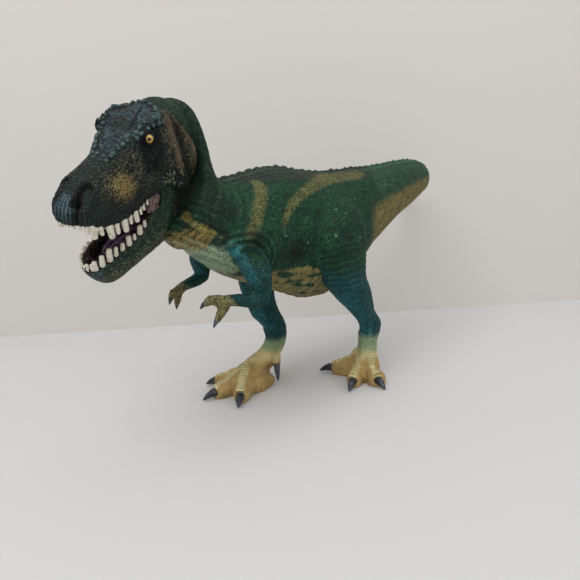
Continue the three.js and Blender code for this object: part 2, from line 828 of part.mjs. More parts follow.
// A row of sections from a foot's middle along a heading: distance, height, up, down and half width
function spread(foot, heading, shares, reach, size) {
  const [sine, cosine] = [Math.sin(heading * degree), Math.cos(heading * degree)];
  return shares.map(([out, height, up, down, half, pitch = 0]) => station({
    x: foot.footForward + cosine * out * reach,
    y: foot.footSide + sine * out * reach,
    z: height * size,
    yaw: heading,
    pitch,
    up: up * size,
    down: down * size,
    half: half * size,
  }));
}

const toeShares = [
  [0, 2, 1.3, 2.4, 1.25],
  [0.28, 1.6, 1.15, 2.05, 1.1],
  [0.48, 1.25, 1.05, 1.7, 1],
  [0.65, 1, 0.88, 1.4, 0.88],
  [0.8, 0.9, 0.9, 1.25, 0.92],
  [0.94, 0.82, 0.76, 1.1, 0.8],
  [1.04, 0.8, 0.4, 0.7, 0.45],
];
const heelShares = [
  [0, 0.9, 1.2, 1.4, 1.6],
  [0.35, 0.75, 1.1, 1.2, 1.45],
  [0.55, 0.65, 0.9, 1, 1.15],
  [0.7, 0.6, 0.4, 0.6, 0.5],
];
const clawShares = [
  [0, 1.5, 1, 1, 0.95, 6],
  [0.3, 1.45, 0.95, 0.95, 0.9, 18],
  [0.6, 1.15, 0.7, 0.7, 0.66, 34],
  [0.85, 0.7, 0.42, 0.4, 0.4, 46],
  [1, 0.38, 0.14, 0.14, 0.14, 50],
];

function toeClaw(foot, heading, grow = 0) {
  const root = toeLength - clawSink;
  const shares = clawShares.map(([out, ...rest]) => [root + out * clawLength, ...rest]);
  const rows = spread(foot, heading, shares, 1, clawRadius);
  return solid(loft(rows, { sides: smallSides, extra: 0, grow }));
}

// The small inner toe behind the foot and its claw, hanging down the metatarsus
const dewShares = [
  [-0.55, 1.3, 1, 15],
  [0, 0.9, 1, 35],
  [0.5, 0.45, 0.85, 55],
  [0.85, 0.1, 0.6, 60],
];
const dewClawShares = [
  [0.62, 0.32, 0.72, 50],
  [0.9, -0.05, 0.62, 58],
  [1.2, -0.45, 0.4, 68],
  [1.4, -0.8, 0.12, 74],
];
const dewMiddleShare = 0.45;
const dewInsetShare = 0.62;

function dewRows(foot, shares) {
  const out = foot.side * (hipHalfWidth - dewInsetShare * thighHalfWidth);
  const [sine, cosine] = [Math.sin(foot.dewHeading * degree), Math.cos(foot.dewHeading * degree)];
  return shares.map(([forward, height, radius, pitch]) => station({
    x: foot.footForward + foot.dewAlongShare * legHeight + cosine * forward * dewToeLength,
    y: out + sine * forward * dewToeLength,
    z: dewHeight + (height - dewMiddleShare) * dewToeLength,
    yaw: foot.dewHeading,
    pitch,
    up: radius * dewRadius,
  }));
}

function dewToe(foot) {
  return solid(loft(dewRows(foot, dewShares), { sides: smallSides, extra: 0 }));
}

function dewClaw(foot, grow = 0) {
  return solid(loft(dewRows(foot, dewClawShares), { sides: smallSides - 1, extra: 0, grow }));
}

function hipPeg(foot, grow = 0) {
  const hip = legStations(foot)[2];
  const from = new THREE.Vector3(hip[0], foot.side * (bodyHalfWidth + hipPegRadius / 2), hip[2]);
  const to = from.clone().setY(foot.side * (bodyHalfWidth - hipPegLength - grow));
  return peg(hipPegRadius + grow, from, to);
}

function clawsOf(foot) {
  const toes = Object.entries(foot.toes).map(
    ([toe, heading]) => [toe, (grow) => toeClaw(foot, heading, grow)]);
  return [...toes, ["dew", (grow) => dewClaw(foot, grow)]];
}

function ground() {
  const size = 4 * legHeight;
  return solid(new THREE.BoxGeometry(size, size, size).translate(0, 0, -size / 2));
}

function legForm(foot, body) {
  const shank = solid(loft(legStations(foot), { sides: limbSides }));
  const footLook = { sides: smallSides + 2, extra: 0 };
  const toes = Object.values(foot.toes).map((heading) =>
    solid(loft(spread(foot, heading, toeShares, toeLength, toeRadius), footLook)));
  const heelRows = spread(foot, foot.heel, heelShares, toeLength * foot.heelReach, heelRadius);
  const heel = solid(loft(heelRows, footLook));
  const whole = join([shank, ...toes, heel, dewToe(foot)]);
  const sockets = clawsOf(foot).map(([, claw]) => claw(seam));
  return cut(cut(whole, [body]).add(hipPeg(foot)), [ground(), ...sockets]);
}

// Arms: forward, out and up from the shoulder in arm reaches, the lean in degrees, then the front,
// back and half width of the arm
const leftArmShares = [
  [0.04, -0.42, 0.32, 84, 0.8, 0.9, 0.5],
  [0.03, -0.1, 0.12, 88, 1.04, 1.12, 0.8],
  [0, 0.03, -0.08, 92, 1.04, 1.06, 0.9],
  [-0.01, 0.09, -0.28, 94, 0.82, 0.95, 0.84],
  [-0.04, 0.1, -0.48, 88, 0.56, 0.76, 0.7],
  [-0.05, 0.1, -0.6, 44, 0.5, 0.62, 0.58],
  [0.1, 0.08, -0.63, -4, 0.48, 0.5, 0.5],
  [0.32, 0.03, -0.575, -12, 0.4, 0.42, 0.42],
  [0.5, 0, -0.545, -6, 0.36, 0.37, 0.44],
  [0.62, -0.03, -0.55, 8, 0.36, 0.38, 0.48],
  [0.71, -0.05, -0.58, 14, 0.2, 0.24, 0.28],
];
const rightArmShares = [
  [0.04, -0.4, 0.3, 84, 0.7, 0.9, 0.5],
  [0.04, -0.1, 0.12, 88, 0.85, 1.05, 0.8],
  [0.03, 0.03, -0.08, 88, 0.85, 1, 0.88],
  [0.03, 0.09, -0.28, 90, 0.76, 0.88, 0.82],
  [0.02, 0.1, -0.46, 84, 0.62, 0.7, 0.68],
  [0.02, 0.1, -0.58, 48, 0.54, 0.56, 0.56],
  [0.14, 0.08, -0.63, 12, 0.5, 0.48, 0.5],
  [0.34, 0.03, -0.66, 8, 0.42, 0.42, 0.42],
  [0.5, 0, -0.69, 12, 0.37, 0.37, 0.44],
  [0.62, -0.03, -0.74, 24, 0.34, 0.36, 0.46],
  [0.69, -0.05, -0.79, 34, 0.2, 0.24, 0.28],
];

// Each finger from the palm: forward, in and up to its claw in arm reaches, then to the claw's tip
const leftFingerShares = {
  upper: { root: [0.62, -0.05, -0.51], knuckle: [0.83, -0.12, -0.51], tip: [0.97, -0.14, -0.61] },
  lower: { root: [0.6, 0.01, -0.6], knuckle: [0.71, -0.03, -0.77], tip: [0.82, -0.05, -0.93] },
};
const rightFingerShares = {
  upper: { root: [0.6, -0.04, -0.7], knuckle: [0.8, -0.1, -0.78], tip: [0.88, -0.12, -0.95] },
  lower: { root: [0.58, 0.03, -0.77], knuckle: [0.63, 0.02, -0.93], tip: [0.68, 0.01, -1.09] },
};

// Each arm: its shoulder along the body, out and up in the body's sizes, and its shape
const leftArm = {
  name: "left",
  side: 1,
  shoulderShares: [1.058, 0.922, 0.666],
  shares: leftArmShares,
  fingers: leftFingerShares,
};
const rightArm = {
  name: "right",
  side: -1,
  shoulderShares: [1.012, 0.83, 0.705],
  shares: rightArmShares,
  fingers: rightFingerShares,
};

function shoulderOf({ side, shoulderShares: [along, out, height] }) {
  const x = along * bodyLength - tailSeamBack;
  return new THREE.Vector3(x, side * out * bodyHalfWidth, height * backHeight);
}

function armPoint(arm, [forward, out, up]) {
  const step = new THREE.Vector3(forward, arm.side * out, up).multiplyScalar(armReach);
  return step.add(shoulderOf(arm));
}

function armStations(arm) {
  return arm.shares.map(([forward, out, rise, lean, front, back, half]) => {
    const [x, y, z] = armPoint(arm, [forward, out, rise]).toArray();
    const [up, down] = [front * armRadius, back * armRadius];
    return station({ x, y, z, pitch: lean, up, down, half: half * armRadius });
  });
}

// A tapered form from one point to another, its radii given at even steps between them
function taper(from, to, radii, grow = 0, sag = 0) {
  const along = new THREE.Vector3().subVectors(to, from);
  const yaw = Math.atan2(along.y, along.x) / degree;
  const pitch = -Math.atan2(along.z, Math.hypot(along.x, along.y)) / degree;
  const rows = radii.map((up, k) => {
    const share = k / (radii.length - 1);
    const [x, y, z] = from.clone().addScaledVector(along, share).toArray();
    const arch = sag * 4 * share * (1 - share);
    return station({ x, y, z: z + arch, pitch: pitch + (share - 0.5) * 40 * Math.sign(sag), yaw, up });
  });
  return solid(loft(rows, { sides: smallSides, extra: 0, grow }));
}

function finger(arm, { root, knuckle }) {
  const radii = [0.85, 1.05, 0.9, 1.02, 0.7].map((share) => share * fingerRadius);
  return taper(armPoint(arm, root), armPoint(arm, knuckle), radii);
}

function fingerClaw(arm, { root, knuckle, tip }, grow = 0) {
  const radii = [0.78, 0.7, 0.5, 0.14].map((share) => share * fingerRadius);
  const from = armPoint(arm, knuckle).lerp(armPoint(arm, root), 0.12);
  return taper(from, armPoint(arm, tip), radii, grow, 0.12 * fingerClawLength);
}

const shoulderSocketShare = 0.8; // the body's half width where the shoulder sits

function shoulderPeg(arm, grow = 0) {
  const from = shoulderOf(arm).setY(arm.side * bodyHalfWidth);
  const to = from.clone().setY(arm.side * (shoulderSocketShare * bodyHalfWidth - shoulderPegLength - grow));
  return peg(shoulderPegRadius + grow, from, to, smallSides + 2);
}

function armForm(arm, body) {
  const fingers = Object.values(arm.fingers);
  const whole = join([
    solid(loft(armStations(arm), { sides: limbSides - 2, extra: 0 })),
    ...fingers.map((shares) => finger(arm, shares)),
  ]);
  const sockets = fingers.map((shares) => fingerClaw(arm, shares, seam));
  return cut(cut(whole, [body]).add(shoulderPeg(arm)), sockets);
}

// Materials

function vinyl(color, roughness = 0.55) {
  return new THREE.MeshStandardMaterial({ color, roughness, metalness: 0 });
}

const green = vinyl("#1f4a3a");
const darkGreen = vinyl("#22352f");
const claws = vinyl("#1c2433", 0.35);
const ivory = vinyl("#e6dfc6", 0.4);
const flesh = vinyl("#4d2a35", 0.45);
const amber = vinyl("#c9962c", 0.2);
const pinPlastic = vinyl("#3b3f3d", 0.4);

function piece(name, shape, material) {
  const mesh = new THREE.Mesh(geometryOf(shape), material);
  mesh.name = name;
  return mesh;
}

// Assembly

function headGroup() {
  const jaw = new THREE.Group();
  jaw.position.copy(hinge);
  jaw.rotation.y = jawGape;
  jaw.add(
    piece("lower_jaw", lowerJawForm(), darkGreen),
    piece("tongue", tongueForm(), flesh),
    piece("lower_teeth", toothRow(lowerLine, lowerTeeth, lowerToothLength, 1), ivory),
  );
  const head = new THREE.Group();
  head.position.setFromMatrixPosition(headPlace);
  head.rotation.copy(headTurn);
  head.add(
    piece("skull", skullForm(), darkGreen),
    piece("palate", palateForm(), flesh),
    piece("upper_teeth", toothRow(upperLine, upperTeeth, upperToothLength, -1), ivory),
    piece("jaw_hinge_pin", hingePin(), pinPlastic),
    piece("left_eye", eye(1), amber),
    piece("right_eye", eye(-1), amber),
    jaw,
  );
  return head;
}

function bodyPiece() {
  const neckPegInFigure = solid(geometryOf(neckPeg()), headPlace);
  const scutes = ridge(bodyStations, 0.01, ridgeEnd, (share) => mix(1, 0.5, share / ridgeEnd));
  const whole = join([bodyForm(), ...scutes, neckPegInFigure]);
  const sockets = [
    tailPeg(seam),
    ...[left, right].map((foot) => hipPeg(foot, seam)),
    ...[leftArm, rightArm].map((arm) => shoulderPeg(arm, seam)),
  ];
  return piece("body", cut(whole, [...sockets, ...jawSweep()]), green);
}

const figure = new THREE.Group();
const grownBody = bodyForm(seam);
figure.add(bodyPiece(), piece("tail", tailForm(), green), headGroup());
for (const foot of [left, right]) {
  figure.add(piece(`${foot.name}_leg`, legForm(foot, grownBody), green));
  for (const [toe, claw] of clawsOf(foot)) {
    figure.add(piece(`${foot.name}_${toe}_claw`, claw(), claws));
  }
}
for (const arm of [leftArm, rightArm]) {
  figure.add(piece(`${arm.name}_arm`, armForm(arm, grownBody), green));
  for (const [place, shares] of Object.entries(arm.fingers)) {
    figure.add(piece(`${arm.name}_${place}_finger_claw`, fingerClaw(arm, shares), claws));
  }
}
figure.rotation.z = Math.PI;

const group = new THREE.Group();
group.add(figure);
const extent = new THREE.Box3().setFromObject(group, true);
const middle = extent.getCenter(new THREE.Vector3());
group.position.set(-middle.x, -middle.y, -extent.min.z);

export default group;
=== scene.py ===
"""Looks of a striding toy tyrannosaur in moulded, hand-painted vinyl, built round its packed solids.

Sizes are in millimetres in the figure's own frame, as in the solids: x forward, y to the figure's left,
z up from the soles. The head's frame starts at the corner of the jaws with x along the snout.
Meshes are written in metres in the frame of the packed model.
"""

import itertools
import json
import logging
import math
from dataclasses import dataclass
from enum import Enum
from typing import ClassVar

import bpy
import numpy as np
from mathutils import Euler, Matrix, Vector
from mathutils.bvhtree import BVHTree

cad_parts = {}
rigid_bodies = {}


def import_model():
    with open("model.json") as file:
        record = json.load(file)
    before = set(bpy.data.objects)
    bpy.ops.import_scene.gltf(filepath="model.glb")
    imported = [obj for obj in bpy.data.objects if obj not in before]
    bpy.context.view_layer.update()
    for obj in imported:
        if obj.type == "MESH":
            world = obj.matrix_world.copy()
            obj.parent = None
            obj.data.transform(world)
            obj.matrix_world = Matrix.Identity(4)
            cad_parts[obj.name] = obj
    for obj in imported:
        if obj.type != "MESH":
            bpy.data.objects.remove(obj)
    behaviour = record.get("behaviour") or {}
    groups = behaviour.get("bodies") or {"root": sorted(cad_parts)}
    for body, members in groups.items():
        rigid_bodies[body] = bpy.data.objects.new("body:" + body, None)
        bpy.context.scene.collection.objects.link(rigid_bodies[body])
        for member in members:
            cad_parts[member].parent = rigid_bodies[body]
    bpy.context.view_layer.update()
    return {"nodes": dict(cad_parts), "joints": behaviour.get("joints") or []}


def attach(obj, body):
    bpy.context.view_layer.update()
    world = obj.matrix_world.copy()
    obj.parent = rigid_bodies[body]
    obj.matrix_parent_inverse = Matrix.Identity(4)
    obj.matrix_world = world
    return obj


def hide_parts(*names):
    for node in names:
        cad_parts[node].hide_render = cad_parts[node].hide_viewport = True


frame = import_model()

log = logging.getLogger("figure")

MM = 0.001
HERE = Matrix.Identity(4)
# The corner of the jaws, and how the head leans, nods and turns from the body, in degrees
JAW_CORNER = (68.4, -5.5, 113.5)
HEAD_TURN = (-18.8, 17.5, 20.3)
HEAD_PLACE = Matrix.Translation(JAW_CORNER) @ Euler(
    tuple(math.radians(angle) for angle in HEAD_TURN), "XYZ"
).to_matrix().to_4x4()
HINGE_IN_HEAD = Vector((2.0, 0.0, 4.5))
JAW_OPEN = 23  # degrees, as in the photograph
JAW_PLACE = HEAD_PLACE @ Matrix.Translation(HINGE_IN_HEAD) @ Matrix.Rotation(math.radians(JAW_OPEN), 4, "Y")


class Side(Enum):
    """A side of the figure, and which way it lies along y."""

    LEFT = 1
    RIGHT = -1

    @property
    def word(self) -> str:
        """The side as it stands in the names of the pieces."""
        return self.name.lower()


class Growth(Enum):
    """Which way the teeth of a row grow."""

    DOWN = -1
    UP = 1


def figure_place() -> Matrix:
    """The turn and shift, in millimetres, from the figure's frame to the packed model's.

    Returns:
        The matrix, settled by where the jaw's hinge is in the packed record.
    """
    hinge = Vector(frame["joints"][0]["pos_m"]) / MM
    turn = Matrix.Rotation(math.pi, 4, "Z")
    at = turn @ (HEAD_PLACE @ HINGE_IN_HEAD)
    return Matrix.Translation(hinge - at) @ turn


FIGURE_PLACE = figure_place()


def to_world(place: Matrix) -> Matrix:
    """The matrix from a frame of the figure, in millimetres, to the model's, in metres.

    Args:
        place: The frame within the figure.

    Returns:
        The matrix for points in that frame.
    """
    return Matrix.Scale(MM, 4) @ FIGURE_PLACE @ place


# Small tools


def deselect() -> None:
    """Leaves nothing selected."""
    if bpy.context.object and bpy.context.object.mode != "OBJECT":
        bpy.ops.object.mode_set(mode="OBJECT")
    for obj in bpy.context.selected_objects:
        obj.select_set(False)


def activate(obj: bpy.types.Object) -> None:
    """Makes an object the only selected one, and the active one.

    Args:
        obj: The object.
    """
    deselect()
    obj.select_set(True)
    bpy.context.view_layer.objects.active = obj


def modify(obj: bpy.types.Object, kind: str, **settings: object) -> None:
    """Adds a modifier and applies it.

    Args:
        obj: The piece.
        kind: The modifier's type.
        settings: Its settings by name.
    """
    activate(obj)
    modifier = obj.modifiers.new(kind.title(), kind)
    for name, value in settings.items():
        setattr(modifier, name, value)
    bpy.ops.object.modifier_apply(modifier=modifier.name)


def melt(obj: bpy.types.Object, pitch: float) -> None:
    """Melts all that overlaps in obj into one closed skin, on a grid of this pitch in millimetres."""
    modify(obj, "REMESH", mode="VOXEL", voxel_size=pitch * MM, adaptivity=0.0)


def edit(obj: bpy.types.Object, *steps: tuple) -> None:
    """Runs mesh operators on all of obj.

    Args:
        obj: The piece.
        steps: Pairs of an operator and its settings.
    """
    activate(obj)
    bpy.ops.object.mode_set(mode="EDIT")
    bpy.ops.mesh.select_all(action="SELECT")
    for operator, settings in steps:
        operator(**settings)
    bpy.ops.object.mode_set(mode="OBJECT")


def copy_of(node: str, name: str) -> bpy.types.Object:
    """A merged copy of a solid's mesh as a new object at the origin.

    Args:
        node: The solid's name.
        name: The copy's name.

    Returns:
        The copy.
    """
    obj = bpy.data.objects.new(name, frame["nodes"][node].data.copy())
    bpy.context.scene.collection.objects.link(obj)
    obj.data.materials.clear()
    edit(obj, (bpy.ops.mesh.remove_doubles, {"threshold": 1e-7}))
    return obj


def joined(objects: list[bpy.types.Object], name: str) -> bpy.types.Object:
    """Joins objects into the first one.

    Args:
        objects: What to join.
        name: The result's name.

    Returns:
        The joined object.
    """
    activate(objects[0])
    for obj in objects:
        obj.select_set(True)
    bpy.ops.object.join()
    objects[0].name = name
    return objects[0]


def largest_part(obj: bpy.types.Object) -> bpy.types.Object:
    """Keeps the largest connected part of a mesh.

    Args:
        obj: The mesh, whose other parts are deleted.

    Returns:
        The object that is left.
    """
    activate(obj)
    bpy.ops.object.mode_set(mode="EDIT")
    bpy.ops.mesh.select_all(action="SELECT")
    bpy.ops.mesh.separate(type="LOOSE")
    bpy.ops.object.mode_set(mode="OBJECT")
    parts = sorted(bpy.context.selected_objects, key=lambda o: len(o.data.vertices))
    name = obj.name
    for part in parts[:-1]:
        bpy.data.objects.remove(part)
    parts[-1].name = name
    return parts[-1]


def fade(low: float, high: float, value: np.ndarray) -> np.ndarray:
    """A soft step from 0 at low to 1 at high; low may be the larger."""
    share = np.clip((value - low) / (high - low), 0, 1)
    return share * share * (3 - 2 * share)


def bell(gap: np.ndarray, reach: float, power: int = 2) -> np.ndarray:
    """A soft mound: 1 where the gap is 0, and next to 0 past its reach."""
    return np.exp(-((gap / reach) ** power))


def wave(turn: np.ndarray) -> np.ndarray:
    """A wave between 0 and 1, at an angle in radians."""
    return 0.5 + 0.5 * np.sin(turn)


def folded(points: np.ndarray) -> np.ndarray:
    """The points with their right side folded over to the left, for what is alike on both sides."""
    return points * (1, 0, 1) + np.abs(points) * (0, 1, 0)


def hashed(cell: np.ndarray, seed: int) -> np.ndarray:
    """Three even random numbers for each lattice cell.

    Args:
        cell: Whole numbers, one row of three a cell.
        seed: Changes the numbers.

    Returns:
        Rows of three numbers from 0 to 1.
    """
    x, y, z = (cell[:, k].astype(np.uint64) for k in range(3))
    key = x * np.uint64(73856093) ^ y * np.uint64(19349663) ^ z * np.uint64(83492791)
    key ^= np.uint64(seed * 2654435761 % 2**32)
    out = np.empty((len(cell), 3))
    for k in range(3):
        key ^= key >> np.uint64(13)
        key *= np.uint64(0x9E3779B97F4A7C15)
        key ^= key >> np.uint64(29)
        out[:, k] = (key >> np.uint64(40)).astype(float) / 2**24
    return out


def cells(points: np.ndarray, pitch: float, seed: int = 1) -> tuple[np.ndarray, np.ndarray, np.ndarray]:
    """Scattered cells, as scales lie on a hide.

    Args:
        points: Places, in millimetres.
        pitch: Middle to middle of two cells.
        seed: Changes the scatter.

    Returns:
        The distance to the nearest middle and how much farther the next one is, both in pitches, and a
        random number for each cell.
    """
    grid = points / pitch
    base = np.floor(grid).astype(np.int64)
    first = np.full(len(points), 9.0)
    second = np.full(len(points), 9.0)
    tone = np.zeros(len(points))
    for step in itertools.product((-1, 0, 1), repeat=3):
        cell = base + np.array(step)
        random = hashed(cell, seed)
        distance = np.linalg.norm(grid - cell - 0.5 - 0.8 * (random - 0.5), axis=1)
        nearer = distance < first
        second = np.where(nearer, first, np.minimum(second, distance))
        tone = np.where(nearer, random[:, 0], tone)
        first = np.where(nearer, distance, first)
    return first, second - first, tone


def cloud(points: np.ndarray, pitch: float, seed: int = 1, octaves: int = 2) -> np.ndarray:
    """Smooth noise from -1 to 1.

    Args:
        points: Places, in millimetres.
        pitch: The size of the largest clouds.
        seed: Changes the noise.
        octaves: How many sizes are added, each half the last.

    Returns:
        A value for each point.
    """
    total = np.zeros(len(points))
    weight = 0.0
    for octave in range(octaves):
        grid = points * (2**octave / pitch)
        base = np.floor(grid).astype(np.int64)
        share = grid - base
        share = share * share * (3 - 2 * share)
        value = np.zeros(len(points))
        for step in itertools.product((0, 1), repeat=3):
            corner = np.array(step)
            part = np.prod(np.where(corner, share, 1 - share), axis=1)
            value += part * hashed(base + corner, seed + octave)[:, 0]
        total += (2 * value - 1) * 0.5**octave
        weight += 0.5**octave
    return total / weight


def line_field(points: np.ndarray, line: list[tuple]) -> tuple[np.ndarray, np.ndarray]:
    """How far points are from a bent line, and how far along it their nearest place is.

    Args:
        points: Places, with as many columns as the line has.
        line: The line's corners.

    Returns:
        The distance, and the share of the line's corners passed, from 0 to 1.
    """
    corners = np.array(line, float)
    best = np.full(len(points), 1e9)
    along = np.zeros(len(points))
    for k, (start, end) in enumerate(zip(corners[:-1], corners[1:])):
        step = end - start
        share = np.clip((points - start) @ step / (step @ step), 0, 1)
        distance = np.linalg.norm(points - start - share[:, None] * step, axis=1)
        nearer = distance < best
        best = np.where(nearer, distance, best)
        along = np.where(nearer, (k + share) / (len(corners) - 1), along)
    return best, along


class Clay:
    """A mesh under the modeller's tools: its points, in millimetres in a frame of the figure."""

    def __init__(self, obj: bpy.types.Object, place: Matrix) -> None:
        """Takes up a mesh.

        Args:
            obj: The piece, its mesh in the model's frame.
            place: The frame of the figure to work in.
        """
        self.obj = obj
        self.world = np.array(to_world(place))
        self.back = np.linalg.inv(self.world)
        self.read()

    def read(self) -> None:
        """Reads the points and normals from the mesh."""
        mesh = self.obj.data
        flat = np.empty(len(mesh.vertices) * 3)
        mesh.vertices.foreach_get("co", flat)
        self.points = flat.reshape(-1, 3) @ self.back[:3, :3].T + self.back[:3, 3]
        self.renormal()

    def renormal(self) -> None:
        """Works out the normals anew."""
        mesh = self.obj.data
        flat = np.empty(len(mesh.vertices) * 3, np.float32)
        mesh.vertex_normals.foreach_get("vector", flat)
        turned = flat.reshape(-1, 3).astype(float) @ self.back[:3, :3].T
        self.normals = turned / (np.linalg.norm(turned, axis=1, keepdims=True) + 1e-12)

    def write(self) -> None:
        """Writes the points back into the mesh."""
        placed = self.points @ self.world[:3, :3].T + self.world[:3, 3]
        self.obj.data.vertices.foreach_set("co", placed.astype(np.float32).ravel())
        self.obj.data.update()
        self.renormal()

    def push(self, amount: np.ndarray) -> None:
        """Moves each point along its normal, in millimetres."""
        self.points = self.points + self.normals * np.asarray(amount)[..., None]

    def ends(self) -> tuple[np.ndarray, np.ndarray]:
        """Reads the edges.

        Returns:
            For each edge, the numbers of the points at its two ends.
        """
        edges = self.obj.data.edges
        flat = np.empty(len(edges) * 2, np.int32)
        edges.foreach_get("vertices", flat)
        return flat[::2], flat[1::2]

    def nearest(self, at: tuple | np.ndarray, cost: np.ndarray | float = 0.0) -> np.ndarray:
        """The point nearest to a place; cost is added to each point's squared distance."""
        return self.points[np.argmin(((self.points - at) ** 2).sum(axis=1) + cost)]

    def relax(self, rounds: int, weight: np.ndarray | float = 1.0) -> None:
        """Smooths the mesh without shrinking it.

        Args:
            rounds: How many pairs of passes, one in and one out.
            weight: From 0, left alone, to 1, for each point.
        """
        a, b = self.ends()
        both, other = np.concatenate([a, b]), np.concatenate([b, a])
        count = np.bincount(both, minlength=len(self.points))[:, None]
        weight = np.broadcast_to(np.asarray(weight, float), (len(self.points),))[:, None]
        for _ in range(rounds):
            for step in (0.5, -0.53):
                middle = np.stack(
                    [np.bincount(both, self.points[other, k], len(self.points)) for k in range(3)], axis=1
                )
                self.points = self.points + step * weight * (middle / count - self.points)

    def swell(self, at: tuple, reach: float, rise: float, mirrored: bool = False) -> None:
        """Raises or sinks a soft mound.

        Args:
            at: Its middle.
            reach: How far it fades out.
            rise: How high it stands; below 0 it is a hollow.
            mirrored: Also makes its twin across the middle plane.
        """
        for side in (1, -1) if mirrored else (1,):
            middle = np.array(at, float) * (1, side, 1)
            gap = np.linalg.norm(self.points - middle, axis=1)
            self.push(rise * bell(gap, reach))

    def keep(self, name: str, values: np.ndarray) -> None:
        """Stores a value for each point as an attribute that the paint reads."""
        attribute = self.obj.data.attributes.new(name, "FLOAT", "POINT")
        attribute.data.foreach_set("value", np.clip(values, 0, 1).astype(np.float32))


# Finishes


def linear(colour: str) -> tuple[float, float, float, float]:
    """A colour as the shader wants it.

    Args:
        colour: An sRGB hex value.

    Returns:
        Linear red, green, blue and alpha.
    """
    parts = [int(colour[k : k + 2], 16) / 255 for k in (1, 3, 5)]
    return (*(c / 12.92 if c <= 0.04045 else ((c + 0.055) / 1.055) ** 2.4 for c in parts), 1.0)


def connect(tree: bpy.types.NodeTree, node: bpy.types.Node, links: dict) -> None:
    """Sets a node's inputs.

    Args:
        tree: The material's nodes.
        node: The node.
        links: For each input, by name or number, a value, an output, or a node for its first output.
    """
    for name, value in links.items():
        if isinstance(value, bpy.types.Node):
            value = value.outputs[0]
        if isinstance(value, bpy.types.NodeSocket):
            tree.links.new(value, node.inputs[name])
        else:
            node.inputs[name].default_value = value


def add_node(
    tree: bpy.types.NodeTree, kind: str, links: dict | None = None, **settings: object
) -> bpy.types.Node:
    """Adds a shader node.

    Args:
        tree: The material's nodes.
        kind: The node's type, without ShaderNode.
        links: Its inputs, as connect takes them.
        settings: The node's own settings.

    Returns:
        The node.
    """
    node = tree.nodes.new(f"ShaderNode{kind}")
    for name, value in settings.items():
        setattr(node, name, value)
    connect(tree, node, links or {})
    return node


def new_material(name: str) -> tuple[bpy.types.Material, bpy.types.NodeTree, bpy.types.Node]:
    """Starts a material.

    Args:
        name: Its name.

    Returns:
        The material, its nodes and its shader.
    """
    material = bpy.data.materials.new(name)
    material.use_nodes = True
    return material, material.node_tree, material.node_tree.nodes["Principled BSDF"]


SOFT = {"interpolation_type": "SMOOTHSTEP"}
COLOUR = {"data_type": "RGBA"}
TINT = {"data_type": "RGBA", "blend_type": "MULTIPLY"}
# The longest toe crest, in millimetres: the "run" attribute holds the way along a crest as a share of it
RUN_SPAN = 80.0


@dataclass(frozen=True)
class Coat:
    """A colour sprayed or brushed over the earlier ones, where its mask says.

    ragged is how far noise breaks up its edge and patch the size of that noise in millimetres.
    """

    mask: str
    colour: str
    ragged: float
    patch: float
    cover: float


